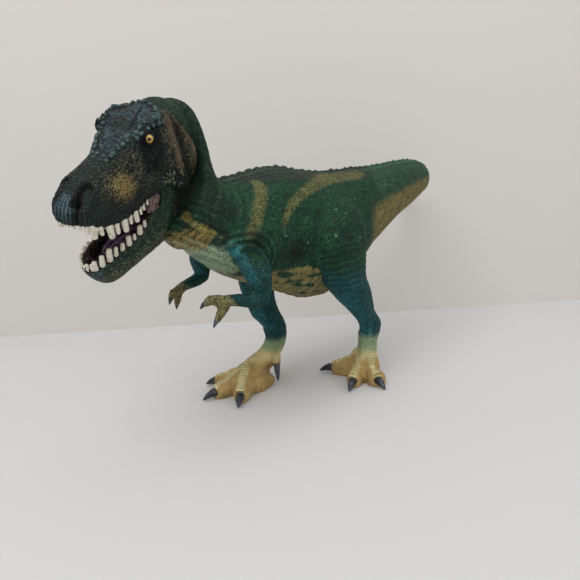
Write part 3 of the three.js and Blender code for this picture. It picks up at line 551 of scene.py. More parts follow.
@dataclass(frozen=True)
class PaintedVinyl:
    """Moulded PVC painted with matt acrylics: airbrushed colours, a dark wash that stays in the
    hollows between scales, and a paler dry brushing that catches their tops.

    Its grain, the pitch of the pebbles between the scales, and bar_pitch, that of the plates across the
    toes, are in millimetres. The real pebbles are finer, and would not show.
    """

    name: str
    base: str
    coats: tuple[Coat, ...]
    wash: str = "#0d1512"
    wash_cover: float = 0.75
    brushed: str = "#5f7d6c"
    brushed_cover: float = 0.3
    roughness: float = 0.52
    grain: float = 0.85
    pebble_share: float = 0.5
    gloss: float = 0.13
    ior: float = 1.46
    bar_pitch: float = 0.0

    def build(self) -> bpy.types.Material:
        """Makes the material from its coats.

        Returns:
            The material.
        """
        material, tree, shader = new_material(self.name)
        place = add_node(tree, "TexCoord").outputs["Object"]
        # Uneven spraying: the base drifts a little lighter and darker over some millimetres
        drift = add_node(tree, "TexNoise", {"Vector": place, "Scale": 1 / (6 * MM), "Detail": 3.0})
        tone = add_node(tree, "MapRange", {0: drift, 1: 0.3, 2: 0.7, 3: 0.8, 4: 1.2})
        relief, height = self.relief(tree, place)
        brushed = self.wash_and_brush(tree, place, self.spray(tree, place), relief)
        final = add_node(tree, "Mix", {0: 1.0, 6: brushed, 7: tone}, **TINT)
        bump = add_node(tree, "Bump", {"Height": height, "Strength": 0.7, "Distance": 0.12 * MM})
        rough = add_node(tree, "MapRange", {0: drift, 3: self.roughness - 0.07, 4: self.roughness + 0.1})
        connect(tree, shader, {"Base Color": final.outputs[2], "Normal": bump, "Roughness": rough,
                               "IOR": self.ior, "Specular IOR Level": self.gloss})
        return material

    def spray(self, tree: bpy.types.NodeTree, place: bpy.types.NodeSocket) -> bpy.types.NodeSocket:
        """Lays the coats over the base.

        Args:
            tree: The material's nodes.
            place: The place on the piece.

        Returns:
            The colour after the last coat.
        """
        colour = linear(self.base)
        for number, coat in enumerate(self.coats):
            mask = add_node(tree, "Attribute", attribute_name=coat.mask).outputs["Fac"]
            size = {"Scale": 1 / (coat.patch * MM), "Detail": 4.0, "Roughness": 0.65, "W": float(number)}
            noise = add_node(tree, "TexNoise", {"Vector": place, **size}, noise_dimensions="4D")
            ragged = {0: noise, 1: 2 * coat.ragged, 2: -coat.ragged}
            shift = add_node(tree, "Math", ragged, operation="MULTIPLY_ADD")
            # The noise shifts only where the spray is thin, so a bare place stays bare
            thin = add_node(tree, "Math", {0: mask, 1: 4.0}, operation="MULTIPLY", use_clamp=True)
            part = add_node(tree, "Math", {0: shift, 1: thin, 2: mask}, operation="MULTIPLY_ADD")
            share = add_node(tree, "MapRange", {0: part, 1: 0.1, 2: 0.9, 3: 0.0, 4: coat.cover}, **SOFT)
            layers = {0: share, 6: colour, 7: linear(coat.colour)}
            colour = add_node(tree, "Mix", layers, **COLOUR).outputs[2]
        return colour

    def relief(
        self, tree: bpy.types.NodeTree, place: bpy.types.NodeSocket
    ) -> tuple[bpy.types.Node, bpy.types.Node]:
        """The modelled scales with finer pebbles between them, and the plates across the toes.

        Args:
            tree: The material's nodes.
            place: The place on the piece.

        Returns:
            The height that the wash and the brush find, and the one that is too fine to model.
        """
        pitch = 1 / (self.grain * MM)
        pebbles = add_node(tree, "TexVoronoi", {"Vector": place, "Scale": pitch}, feature="DISTANCE_TO_EDGE")
        raised = add_node(tree, "MapRange", {0: pebbles, 1: 0.0, 2: 0.28}, **SOFT)
        modelled = add_node(tree, "Attribute", attribute_name="relief").outputs["Fac"]
        kept = add_node(tree, "Math", {0: modelled, 1: 1 - self.pebble_share}, operation="MULTIPLY")
        both = {0: raised, 1: self.pebble_share, 2: kept}
        relief = add_node(tree, "Math", both, operation="MULTIPLY_ADD")
        if not self.bar_pitch:
            return relief, raised
        run = add_node(tree, "Attribute", attribute_name="run").outputs["Fac"]
        crest = add_node(tree, "Attribute", attribute_name="crest").outputs["Fac"]
        pace = 2 * math.pi * RUN_SPAN / self.bar_pitch
        turn = add_node(tree, "Math", {0: run, 1: pace}, operation="MULTIPLY")
        across = add_node(tree, "Math", {0: turn}, operation="SINE")
        plate = add_node(tree, "MapRange", {0: across, 1: -0.75, 2: 0.1}, **SOFT)
        return tuple(
            add_node(tree, "Mix", {0: crest, 2: scale, 3: plate}, data_type="FLOAT")
            for scale in (relief, raised)
        )

    def wash_and_brush(
        self,
        tree: bpy.types.NodeTree,
        place: bpy.types.NodeSocket,
        colour: bpy.types.NodeSocket,
        relief: bpy.types.Node,
    ) -> bpy.types.NodeSocket:
        """A dark wash in the hollows, and dry brushing on the tops.

        Args:
            tree: The material's nodes.
            place: The place on the piece.
            colour: The paint so far.
            relief: The height of the scales.

        Returns:
            The colour of the whole.
        """
        pooled = {0: relief, 1: 0.1, 2: 0.62, 3: self.wash_cover, 4: 0.0}
        hollow = add_node(tree, "MapRange", pooled, **SOFT)
        washed = add_node(tree, "Mix", {0: hollow, 6: colour, 7: linear(self.wash)}, **COLOUR)
        worn = add_node(tree, "TexNoise", {"Vector": place, "Scale": 1 / (2.2 * MM), "Detail": 3.0})
        touched = {0: relief, 1: 0.62, 2: 0.95, 3: 0.0, 4: self.brushed_cover}
        tops = add_node(tree, "MapRange", touched, **SOFT)
        catch = add_node(tree, "MapRange", {0: worn, 1: 0.4, 2: 0.62})
        caught = add_node(tree, "Math", {0: tops, 1: catch}, operation="MULTIPLY")
        layers = {0: caught, 6: washed.outputs[2], 7: linear(self.brushed)}
        return add_node(tree, "Mix", layers, **COLOUR).outputs[2]


# Trunk: body, tail, legs and arms are one skin while they are modelled, then parted at their seams


@dataclass(frozen=True)
class Foot:
    """A foot: its leg's solid, its middle, its ankle and the headings of its toes in degrees."""

    leg: str
    middle: tuple[float, float]
    toes: tuple[float, float, float]
    ankle: tuple[float, float, float]

    def ahead(self, heading: float, out: float, height: float) -> tuple[float, float, float]:
        """The place at this height that lies this far out from the middle along a heading."""
        angle = math.radians(heading)
        return (self.middle[0] + math.cos(angle) * out, self.middle[1] + math.sin(angle) * out, height)


LEFT_FOOT = Foot("left_leg", (-31, 15), (-66, 24, 68), (-26.5, 21.5, 27))
RIGHT_FOOT = Foot("right_leg", (24, -22), (44, -10, -64), (3, -24, 27))


@dataclass
class Trunk:
    """Body, tail, legs and arms with their hide and paint."""

    voxel: float = 1.08
    overlap: float = 0.22
    scale_pitch: float = 1.3
    fine_pitch: float = 1.15
    knob_pitch: float = 4.6
    scale_rise: float = 0.2
    scute_rise: float = 2.1
    scute_pitch: float = 4.6
    toe_length: float = 18.0
    sole_height: float = 0.02
    nodes: tuple[str, ...] = ("body", "tail", "left_leg", "right_leg", "left_arm", "right_arm")
    slots: ClassVar[dict[str, str]] = {"leg": "leg_skin", "arm": "arm_skin"}

    def build(self) -> None:
        """Models the skin, paints it and parts it."""
        skin = self.base_form()
        self.mark_owners(skin)
        clay = self.clay = Clay(skin, HERE)
        self.read_regions()
        self.soften_seams()
        edit(skin, (bpy.ops.mesh.subdivide, {"number_cuts": 1, "smoothness": 1.0}))
        clay.read()
        self.read_regions()
        clay.relax(3)
        clay.write()
        self.model_forms()
        self.model_hide()
        self.paint()
        self.part(skin)

    def base_form(self) -> bpy.types.Object:
        """Melts all the solids into one closed skin and smooths their facets.

        Returns:
            The skin.
        """
        copies = [copy_of(node, f"{node}_form") for node in self.nodes]
        for copy in copies:
            modify(copy, "DISPLACE", strength=self.overlap * MM, mid_level=0.0)
        nape = ball((-0.5, 0, 20.0), (9.2, 12.4, 13.2), HEAD_PLACE, "nape", tilt=18)
        pouch = ball((65.2, 0.5, 91.0), (9.0, 8.8, 7.6), HERE, "pouch")
        skin = joined([*copies, nape, pouch, *self.knuckles()], "trunk")
        melt(skin, self.voxel)
        skin = largest_part(skin)
        clay = Clay(skin, HERE)
        thick = fade(34, 60, clay.points[:, 2])
        thick *= 1 - fade(40, 48, clay.points[:, 0]) * fade(78, 74, clay.points[:, 2])
        clay.relax(26, 0.12 + 0.88 * thick)
        clay.relax(40, fade(52, 57, clay.points[:, 0]) * fade(100, 110, clay.points[:, 2]))
        clay.write()
        return skin

    def knuckles(self) -> list[bpy.types.Object]:
        """Flesh of the fingertips, over the roots of their claws; the roots are kept for the paint.

        Returns:
            Balls to be melted into the skin.
        """
        self.finger_roots = []
        flesh = []
        for side, place in itertools.product(Side, ("upper", "lower")):
            arm = Clay(frame["nodes"][f"{side.word}_arm"], HERE).points.mean(axis=0)
            claw = Clay(frame["nodes"][f"{side.word}_{place}_finger_claw"], HERE).points
            tip = claw[np.argmax(np.linalg.norm(claw - arm, axis=1))]
            far = np.linalg.norm(claw - tip, axis=1)
            root = claw[far > far.max() - 0.8].mean(axis=0)
            self.finger_roots.append(root)
            for share, radius in ((-0.1, 1.85), (0.18, 1.7), (0.42, 1.4)):
                flesh.append(ball(tuple(root + share * (tip - root)), (radius,) * 3, HERE, "knuckle"))
        return flesh

    def mark_owners(self, skin: bpy.types.Object) -> None:
        """Gives each face the number of the solid that it covers, as its material.

        Args:
            skin: The whole skin.
        """
        graph = bpy.context.evaluated_depsgraph_get()
        trees = [BVHTree.FromObject(frame["nodes"][node], graph) for node in self.nodes]
        for node in self.nodes:
            skin.data.materials.append(bpy.data.materials.new(f"owner_{node}"))
        for face in skin.data.polygons:
            gaps = [tree.find_nearest(face.center)[3] for tree in trees]
            face.material_index = int(np.argmin(gaps))

    def read_regions(self) -> None:
        """Works out, for each point, the solid that it covers."""
        clay = self.clay
        mesh = clay.obj.data
        points = np.empty(len(mesh.loops), np.int32)
        mesh.loops.foreach_get("vertex_index", points)
        corners = np.empty(len(mesh.polygons), np.int32)
        mesh.polygons.foreach_get("loop_total", corners)
        solids = np.empty(len(mesh.polygons), np.int32)
        mesh.polygons.foreach_get("material_index", solids)
        self.owner = np.zeros(len(mesh.vertices), np.int32)
        self.owner[points] = np.repeat(solids, corners)

    def soften_seams(self) -> None:
        """Smooths the skin where two solids meet, so that limbs flow into the body."""
        clay = self.clay
        a, b = clay.ends()
        seam = np.zeros(len(clay.points))
        crossing = self.owner[a] != self.owner[b]
        seam[a[crossing]] = seam[b[crossing]] = 1
        for _ in range(5):
            spread = seam.copy()
            np.maximum.at(spread, a, seam[b] * 0.86)
            np.maximum.at(spread, b, seam[a] * 0.86)
            seam = spread
        clay.relax(45, seam * fade(60, 68, clay.points[:, 2]))
        clay.write()

    def owned(self, *nodes: str) -> np.ndarray:
        """1 for points on these solids and 0 for the others."""
        return np.isin(self.owner, [self.nodes.index(n) for n in nodes]).astype(float)

    def toe_lines(self, foot: Foot) -> list[list[tuple]]:
        """The crest of each toe, from the ankle to the root of its claw.

        Args:
            foot: The foot.

        Returns:
            The corners of each crest's line.
        """
        lines = []
        for heading in foot.toes:
            angle = math.radians(heading)
            ends = [foot.ahead(heading, self.toe_length * 0.6, 11), foot.ahead(heading, self.toe_length, 7)]
            high = np.array(foot.ankle) + (9 * math.cos(angle), 9 * math.sin(angle), 6)
            instep = (high + ends[0]) / 2 + (1.5 * math.cos(angle), 1.5 * math.sin(angle), 1)
            lines.append([tuple(high), tuple(instep), *ends])
        return lines

    def model_forms(self) -> None:
        """Muscles, folds, scutes and the crests of the toes."""
        clay = self.clay
        # Shoulder blades, ribs, haunches and the crook of the knee
        for at, reach, rise in (
            ((46, 21, 92), 9, 1.2),
            ((30, 24, 84), 11, 0.6),
            ((14, 25, 74), 8, -0.7),
            ((-8, 30, 90), 14, 1.0),
            ((-30, 20, 96), 10, -0.8),
        ):
            clay.swell(at, reach, rise, mirrored=True)
        # The inner toe of the left foot is slimmer at its end, and the outer one fuller beside its claw
        inner, _, outer = LEFT_FOOT.toes
        beside = tuple(np.array(LEFT_FOOT.ahead(outer, 15, 3)) + (-2.6, 2.3, 0))
        for at, reach, rise in (
            # The belly, before and behind the legs
            ((-2, 0, 52), 9, 1.2),
            ((20, 0, 56), 10, -0.8),
            # Calf, hock and ankle of the left leg, and the flat outer side of the right foot
            ((-26, 26, 40), 6, -1.5),
            ((-24, 27, 56), 6, 0.7),
            ((-33, 27, 23), 6, -1.6),
            ((24.5, -13.5, 3.5), 6, 2.2),
            ((19, -14.5, 3.0), 5, 1.4),
            (LEFT_FOOT.ahead(inner, 18, 3), 5, -1.3),
            (beside, 4.5, 1.9),
        ):
            clay.swell(at, reach, rise)
        clay.write()
        self.raise_scutes()
        self.raise_toes()
        clay.write()

    def raise_scutes(self) -> None:
        """The row of low, backward-leaning scutes down the back."""
        clay = self.clay
        self.humps = np.zeros(len(clay.points))
        stations, at = [], 57.0
        while at > clay.points[:, 0].min() + 3:
            stations.append(at)
            at -= np.interp(at, [-160, -60, 57], [2.6, 3.9, 4.9])
        ridge = []
        for at in stations:
            slab = np.nonzero(np.abs(clay.points[:, 0] - at) < 0.7)[0]
            ridge.append(clay.points[slab[np.argmax(clay.points[slab, 2])]].copy())
        ridge = np.array(ridge)
        ridge[1:-1] = (ridge[:-2] + 2 * ridge[1:-1] + ridge[2:]) / 4
        x, y, z = clay.points.T
        rising = ridge[np.argsort(ridge[:, 0])].T
        beside = np.abs(y - np.interp(x, rising[0], rising[1]))
        below = np.interp(x, rising[0], rising[2]) - z
        clay.relax(30, fade(4.5, 2.0, beside) * fade(6, 4, below) * fade(59, 54, x))
        rise = np.zeros(len(clay.points))
        for number in range(1, len(ridge) - 1):
            along = (ridge[number + 1] - ridge[number - 1]) * (1, 1, 0)
            along /= np.linalg.norm(along)
            across = np.array([-along[1], along[0], 0])
            step = np.linalg.norm(ridge[number + 1] - ridge[number])
            # A big scute on the midline and a lower one on each side of it, half a step behind
            for sideways, behind, share in ((0, 0, 1.0), (0.95, 0.5, 0.5), (-0.95, 0.5, 0.5)):
                offset = clay.points - (ridge[number] + across * sideways * step + along * behind * step)
                forward, out = offset @ along, offset @ across
                radius = np.hypot(forward / (0.6 * step), out / (0.62 * step))
                dome = np.sqrt(np.clip(1 - radius**2, 0, 1)) * (np.abs(offset[:, 2]) < 7)
                rise = np.maximum(rise, share * self.scute_rise * step / self.scute_pitch * dome)
                self.humps = np.maximum(self.humps, dome)
        clay.points += np.array([-0.25, 0, 1.0]) * rise[:, None]

    def raise_toes(self) -> None:
        """Crests down the toes with plates across them, and webs sunk between."""
        clay = self.clay
        self.plates = np.zeros(len(clay.points))
        self.crest = np.zeros(len(clay.points))
        for foot in (LEFT_FOOT, RIGHT_FOOT):
            own = self.owned(foot.leg) * fade(32, 28, clay.points[:, 2])
            clay.swell(foot.ahead(foot.toes[1] + 180, 13, 5), 5, -2.2)
            clay.write()
            for line in self.toe_lines(foot):
                line = [clay.nearest(corner, 50 * (1 - own)) for corner in line]
                gap, along = line_field(clay.points, line)
                clay.push(0.95 * bell(gap, 2.3) * own)
                steps = np.linalg.norm(np.diff(np.array(line), axis=0), axis=1)
                passed = np.concatenate([[0], np.cumsum(steps)])
                reach = np.interp(along, np.linspace(0, 1, len(line)), passed)
                strip = bell(gap, 2.2, 4) * own * fade(-0.4, 0.1, clay.normals[:, 2])
                self.crest = np.where(strip > self.plates, reach, self.crest)
                self.plates = np.maximum(self.plates, strip)
                clay.write()

    def model_hide(self) -> None:
        """Scales and wrinkles; their height is kept for the wash and the dry brushing."""
        clay = self.clay
        p, n = clay.points, clay.normals
        x, y, z = p.T
        side = np.abs(y)
        body, legs = self.owned("body"), self.owned("left_leg", "right_leg")
        first, edge, _ = cells(p, self.scale_pitch, 3)
        scale = fade(0.02, 0.4, edge) * (1 - 0.35 * first**2)
        fine_first, fine_edge, _ = cells(p, self.fine_pitch, 5)
        fine = fade(0.0, 0.45, fine_edge) * (1 - 0.3 * fine_first)
        limb = np.maximum(legs * fade(66, 52, z), self.owned("left_arm", "right_arm"))
        small = np.clip(np.maximum(limb, fade(44, 54, x)), 0, 1)
        relief = scale * (1 - small) + fine * small

        # Wrinkles: across the belly and chest, rings round the throat, and creases up the neck
        warp = cloud(p, 9, 11, 2)
        belly = fade(72, 62, z + 0.06 * x) * fade(0.2, -0.3, n[:, 2]) * body
        fold = wave((x + 0.35 * z) / 0.9 + 3.2 * warp)
        throat = fade(50, 60, x) * fade(112, 96, z) * body
        ring = wave((z - 0.55 * x) / 0.55 + 3.0 * warp + 0.9 * side / 3)
        neck = fade(38, 46, x) * fade(84, 90, z) * fade(112, 104, z) * fade(6, 10, side)
        crease = wave((x + 0.3 * z) / 0.62 + 2.4 * warp)
        # Folds of skin curl round the shoulder and the front of the thigh
        shoulder = np.hypot(x - 49, z - 77)
        curl = wave(shoulder / 0.5 + 1.6 * warp)
        curled = fade(19, 11, shoulder) * fade(4, 6, shoulder) * fade(14, 18, side)
        curled *= fade(70, 76, z) * self.owned("body", "left_arm", "right_arm")
        wrinkles = belly * (fold - 0.5) * 0.42 + throat * (ring - 0.5) * 0.3 + curled * (curl - 0.5) * 0.65
        wrinkles = wrinkles + neck * body * (crease - 0.5) * 0.35
        relief = relief * (1 - 0.35 * neck) + 0.35 * neck * crease
        relief = relief * (1 - 0.5 * belly - 0.45 * throat) + belly * 0.5 * fold + throat * 0.45 * ring
        relief = relief * (1 - 0.75 * curled) + 0.75 * curled * curl
        self.plates = fade(0.2, 0.7, self.plates)
        foot = legs * fade(30, 22, z)
        relief = relief * (1 - foot) + foot * (0.55 + 0.3 * relief)
        # Pale knobs stand here and there among the scales of the flank and the haunch
        near, _, pick = cells(p, self.knob_pitch, 7)
        knobs = fade(0.24, 0.1, near) * (pick > 0.45) * fade(-32, -22, x) * fade(40, 28, x)
        knobs *= fade(76, 84, z) * fade(110, 106, z) * (1 - small)
        clay.push(0.45 * knobs)
        relief = np.maximum(relief * (1 - 0.7 * self.humps) + 0.7 * self.humps, knobs)
        thigh = legs * fade(50, 60, z) * fade(92, 80, z)
        crinkle = wave((z + 0.15 * x) / 0.5 + 3.2 * warp)
        clay.push(0.16 * thigh * (crinkle - 0.5))
        relief = relief * (1 - 0.35 * thigh) + 0.35 * thigh * crinkle
        rise = self.scale_rise * (1 - 0.35 * small) * (1 - self.plates) * (1 - 0.5 * belly)
        clay.push(rise * (relief - 0.65) + wrinkles + 0.18 * cloud(p, 7, 21, 2))
        # The soles are flat on the floor
        clay.points[:, 2] = np.maximum(clay.points[:, 2], self.sole_height)
        clay.write()
        clay.keep("knobs", knobs)
        clay.keep("crest", self.plates)
        clay.keep("run", self.crest / RUN_SPAN)
        clay.keep("relief", relief)

    def paint(self) -> None:
        """Where each colour is sprayed."""
        self.paint_bands()
        self.paint_underside()
        self.paint_shade()
        self.paint_limbs()

    def paint_bands(self) -> None:
        """The ochre bands of the shoulder and the hip, and the tail's pale side."""
        clay = self.clay
        x, y, z = clay.points.T
        side = np.abs(y)
        profile = clay.points[:, ::2]
        shoulder, _ = line_field(profile, [(34, 109), (38, 103), (42.5, 97), (47.5, 88)])
        band = fade(4.6, 0.4, shoulder) * (0.35 + 0.65 * fade(84, 98, z)) * fade(8, 13, side)
        band *= fade(82, 88, z)
        hip, _ = line_field(profile, [(-50, 117), (-38, 113.5), (-24, 112.5), (-8, 110), (8, 106), (16, 103),
                                      (22.6, 100), (27, 96), (30.7, 92), (32, 88)])
        wide = np.interp(x, [-40, 33], [6.0, 2.8])
        hip_band = fade(1.0, 0.15, hip / wide) * fade(34, 27, x) * fade(-56, -42, x)
        hip_band *= fade(3, 8, side)
        clay.keep("ochre", np.maximum(band, hip_band) * self.owned("body", "left_leg", "right_leg"))
        middle = np.interp(x, [-160, -150, -128, -98, -50], [98, 106, 109.5, 105, 92.5])
        half = np.interp(x, [-160, -150, -128, -98, -50], [2, 6, 10, 15, 23])
        under = fade(0.4, -0.1, (z - middle) / half) * fade(-32, -54, x)
        clay.keep("tail_under", under * self.owned("tail", "body"))

    def paint_underside(self) -> None:
        """The streaked belly, the pale chest and the striped throat with its dark and gold edges."""
        clay = self.clay
        p, body = clay.points, self.owned("body")
        x, y, z = p.T
        side = np.abs(y)
        # The height of the belly's edge at each x
        stations = [-40, 0, 20, 35, 45, 52, 58, 63, 67]
        heights = [66, 68, 70.5, 71, 73.5, 78.5, 85, 87.5, 88.5]
        edge = np.interp(x, stations, heights)
        under = fade(1.5, -2.0, z - edge + 1.2 * cloud(p, 5, 31)) * body * fade(-48, -38, x)
        # Cream streaks run back along the belly and leave green between them
        streak = cloud(p * (0.3, 0.8, 1), 2.6, 33) + 0.35 * cloud(p, 9, 35) + 0.02 * (62 - z)
        clay.keep("belly", under * fade(53, 45, x) * (0.15 + 0.85 * fade(-0.55, -0.05, streak)))
        clay.keep("chest", under * fade(43, 52, x))
        rim, _ = line_field(folded(p), [(62, 13.5, 84), (57, 17, 84), (54, 19, 80)])
        clay.keep("chest_edge", fade(7, 2, rim) * body)
        stripe = wave((z + 0.8 * x - 0.5 * side) / 0.55 + 5.0 * cloud(p, 5, 41))
        throat = fade(59, 62, x) * fade(93.5, 89, z - 0.1 * side) * fade(81, 84.5, z) * body
        clay.keep("throat", throat * (0.4 + 0.6 * fade(0.05, 0.5, stripe)))
        line, _ = line_field(folded(p), [
            (67, 4.5, 99), (65.9, 6.7, 96.8), (64, 10.5, 93.5), (62.3, 14, 90.5), (59.5, 17.5, 88.5),
        ])
        clay.keep("throat_edge", fade(3.4, 0.8, line) * body * (0.65 + 0.35 * stripe))
        # Painted shadow: a dark band on the neck beside the gold edge, where the jaw's shadow falls
        clay.keep("throat_dark", fade(8, 3, line) * fade(1.5, 3, line) * body * fade(99, 95, z))

    def paint_shade(self) -> None:
        """Black-green shading: along the back, behind the neck and down the flank."""
        clay = self.clay
        x, y, z = clay.points.T
        body, tail = self.owned("body"), self.owned("tail")
        back = fade(108, 113, z) * fade(-60, -45, x) * fade(56, 40, x)
        ridge = fade(7, 3, np.abs(y)) * fade(100, 108, z) * (x < 50) * (x > -60)
        clay.keep("dorsal", np.maximum(back, ridge) * (body + tail))
        # Painted shade: dark patches where shade falls, under the jaw, round the shoulder and down the flank
        gloom = np.zeros(len(clay.points))
        for along, up, wide, high, depth in (
            (56, 99, 9, 9, 1.0),
            (22, 78, 13, 7, 1.0),
            (-2, 80, 8, 14, 0.8),
            (-13, 86, 7, 16, 0.75),
            (44, 84, 7, 6, 0.9),
        ):
            gloom = np.maximum(gloom, depth * bell(x - along, wide) * bell(z - up, high))
        clay.keep("gloom", gloom * (0.75 + 0.4 * cloud(clay.points, 8, 51)))
        clay.keep("tail_grey", tail * fade(-40, -60, x))
        clay.keep("neck_grey", body * fade(50, 60, x) * fade(94, 104, z))

    def paint_limbs(self) -> None:
        """Green thigh, teal shin, pale fade and golden foot; teal arm and olive hand."""
        clay = self.clay
        p, forward = clay.points, clay.normals[:, 0]
        x, y, z = p.T
        left, right = self.owned("left_leg"), self.owned("right_leg")
        legs, arms = left + right, self.owned("left_arm", "right_arm")
        clay.keep("teal", legs * fade(74, 56, z) + 0.55 * arms * fade(80, 74, z))
        clay.keep("fade", left * fade(32, 23, z) + right * fade(27, 19, z))
        clay.keep("gold", left * fade(24, 13, z) + right * fade(21.5, 15, z))
        clay.keep("foot_side", legs * fade(17, 11, z) * (1 - 0.85 * self.plates))
        # Painted highlight: paler teal on the shoulder and on the sides of the arms and shins that face
        # forward
        shoulder = bell(x - 55, 4) * bell(z - 82, 5) * bell(np.abs(y) - 19, 5)
        front_of_arm = arms * fade(0.0, 0.7, forward) * fade(64, 70, z)
        front_of_shin = legs * fade(-0.1, 0.8, forward) * fade(60, 50, z) * fade(26, 32, z)
        clay.keep("shoulder", shoulder * 0.9 + 0.6 * front_of_arm + 0.75 * front_of_shin)
        reach = np.min([np.linalg.norm(p - root, axis=1) for root in self.finger_roots], axis=0)
        clay.keep("hand", arms * fade(9.5, 6.5, reach))

    def part(self, skin: bpy.types.Object) -> None:
        """Parts the skin at the seams and closes each piece.

        Args:
            skin: The whole skin.
        """
        finish = BODY_PAINT.build()
        edit(skin, (bpy.ops.mesh.separate, {"type": "MATERIAL"}))
        for piece in [o for o in bpy.context.scene.objects if o.name.startswith("trunk")]:
            node = piece.data.materials[piece.data.polygons[0].material_index].name.removeprefix("owner_")
            piece.name = f"{node}_skin"
            activate(piece)
            bpy.ops.object.mode_set(mode="EDIT")
            bpy.ops.mesh.select_all(action="DESELECT")
            bpy.ops.mesh.select_mode(type="EDGE")
            bpy.ops.mesh.select_non_manifold(
                extend=False, use_wire=False, use_multi_face=False, use_non_contiguous=False, use_verts=False
            )
            bpy.ops.mesh.mark_sharp()
            bpy.ops.mesh.fill()
            bpy.ops.mesh.select_mode(type="VERT")
            bpy.ops.object.mode_set(mode="OBJECT")
            dress(piece, finish, "figure", self.slots.get(node[-3:], "body_skin"), node)


BODY_PAINT = PaintedVinyl(
    name="vinyl_airbrushed_hide",
    base="#1c4230",
    coats=(
        # Painted shade behind the neck, round the shoulder and down the flank
        Coat("gloom", "#101c17", 0.35, 5.0, 0.9),
        Coat("tail_grey", "#33503f", 0.3, 6.0, 0.8),
        Coat("neck_grey", "#26352c", 0.3, 6.0, 0.75),
        Coat("dorsal", "#2a312c", 0.35, 3.0, 0.9),
        Coat("teal", "#1a4a50", 0.4, 5.0, 0.85),
        # Painted highlight on the shoulder and the fronts of the arms and shins
        Coat("shoulder", "#2e6e78", 0.6, 2.5, 0.7),
        Coat("knobs", "#6d8a76", 0.3, 1.5, 0.6),
        Coat("ochre", "#736f40", 0.8, 1.6, 0.7),
        Coat("tail_under", "#857746", 0.3, 5.0, 0.9),
        Coat("belly", "#8f8352", 1.0, 4.0, 0.85),
        Coat("chest_edge", "#5a8471", 0.5, 2.5, 0.75),
        Coat("chest", "#9db594", 0.5, 3.0, 0.9),
        # Painted shadow of the jaw on the neck
        Coat("throat_dark", "#16231b", 0.5, 1.6, 0.85),
        Coat("throat", "#8f7848", 0.6, 1.2, 0.85),
        Coat("throat_edge", "#8f8549", 0.5, 1.2, 0.85),
        Coat("fade", "#93a67c", 0.25, 3.0, 0.9),
        Coat("gold", "#d6c690", 0.25, 3.0, 0.95),
        Coat("foot_side", "#a5834c", 0.35, 3.0, 0.8),
        Coat("hand", "#7c754b", 0.4, 2.0, 0.9),
    ),
    grain=1.05,
    pebble_share=0.45,
    brushed="#6f8f7c",
    brushed_cover=0.35,
    bar_pitch=1.15,
)


# Head: sculpted over the packed skull, in the head's own frame


def lip_line(rows: tuple, inset: float, rise: float, steps: int = 220) -> tuple[np.ndarray, np.ndarray]:
    """A line along a lip, from its right corner round the front to its left one.

    Args:
        rows: Along, half width and height of the lip's outer edge, from the corner to the front.
        inset: How far inside the edge the line runs.
        rise: How far above it.
        steps: How many points it gets.

    Returns:
        Even points along the line, and which way is out of the mouth at each.
    """
    left = np.array(rows, float)
    front = np.array([[left[-1, 0] + 0.4, 0, left[-1, 2]]])
    corners = np.concatenate([left * (1, -1, 1), front, left[::-1]])
    passed = np.concatenate([[0], np.cumsum(np.linalg.norm(np.diff(corners, axis=0), axis=1))])
    even = np.linspace(0, passed[-1], steps)
    line = np.stack([np.interp(even, passed, corners[:, k]) for k in range(3)], axis=1)
    for _ in range(12):
        line[1:-1] = (line[:-2] + 2 * line[1:-1] + line[2:]) / 4
    ahead = np.gradient(line, axis=0)
    out = np.stack([ahead[:, 1], -ahead[:, 0], np.zeros(steps)], axis=1)
    out /= np.linalg.norm(out, axis=1, keepdims=True)
    return line - inset * out + (0, 0, rise), out


def rod(line: np.ndarray, radius: float, place: Matrix, name: str) -> bpy.types.Object:
    """A round bar along a line.

    Args:
        line: Its middle, in millimetres.
        radius: Its radius.
        place: The frame that the line is in.
        name: The bar's name.

    Returns:
        The bar, as a mesh.
    """
    curve = bpy.data.curves.new(name, "CURVE")
    curve.dimensions = "3D"
    curve.bevel_depth, curve.bevel_resolution, curve.use_fill_caps = radius * MM, 2, True
    spline = curve.splines.new("POLY")
    spline.points.add(len(line) - 1)
    world = to_world(place)
    for point, at in zip(spline.points, line):
        point.co = (*(world @ Vector(at)), 1)
    obj = bpy.data.objects.new(name, curve)
    bpy.context.scene.collection.objects.link(obj)
    activate(obj)
    bpy.ops.object.convert(target="MESH")
    return bpy.context.object


def ball(at: tuple, radii: tuple, place: Matrix, name: str, tilt: float = 0.0) -> bpy.types.Object:
    """A smooth ellipsoid to be melted into a skin.

    Args:
        at: Its middle.
        radii: Its three radii.
        place: The frame that it is in.
        name: Its name.
        tilt: How far its top leans forward, in degrees.

    Returns:
        The ellipsoid, placed in its mesh.
    """
    deselect()
    bpy.ops.mesh.primitive_uv_sphere_add(segments=40, ring_count=24, radius=1.0)
    obj = bpy.context.object
    obj.name = name
    lean = Matrix.Rotation(math.radians(tilt), 4, "Y")
    shape = Matrix.Translation(at) @ lean @ Matrix.Diagonal((*radii, 1))
    obj.data.transform(to_world(place) @ shape)
    return obj


def blob(points: np.ndarray, at: tuple, size: tuple) -> np.ndarray:
    """A soft patch of paint, alike on both sides: 1 in its middle, falling off by size each way."""
    return np.exp(-(((folded(points) - at) / size) ** 2).sum(axis=1))


def dress(piece: bpy.types.Object, finish: bpy.types.Material, body: str, slot: str, *nodes: str) -> None:
    """Gives a piece its finish, its body, its slot and the solids that it stands for.

    Args:
        piece: The piece.
        finish: Its material.
        body: The body it rides on.
        slot: The record's slot that its finish comes from.
        nodes: The solids it stands for.
    """
    piece.data.name = piece.name
    piece.data.materials.clear()
    piece.data.materials.append(finish)
    activate(piece)
    bpy.ops.object.shade_smooth()
    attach(piece, body)
    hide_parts(*nodes)
    log.info("%s: %d faces", piece.name, len(piece.data.polygons))


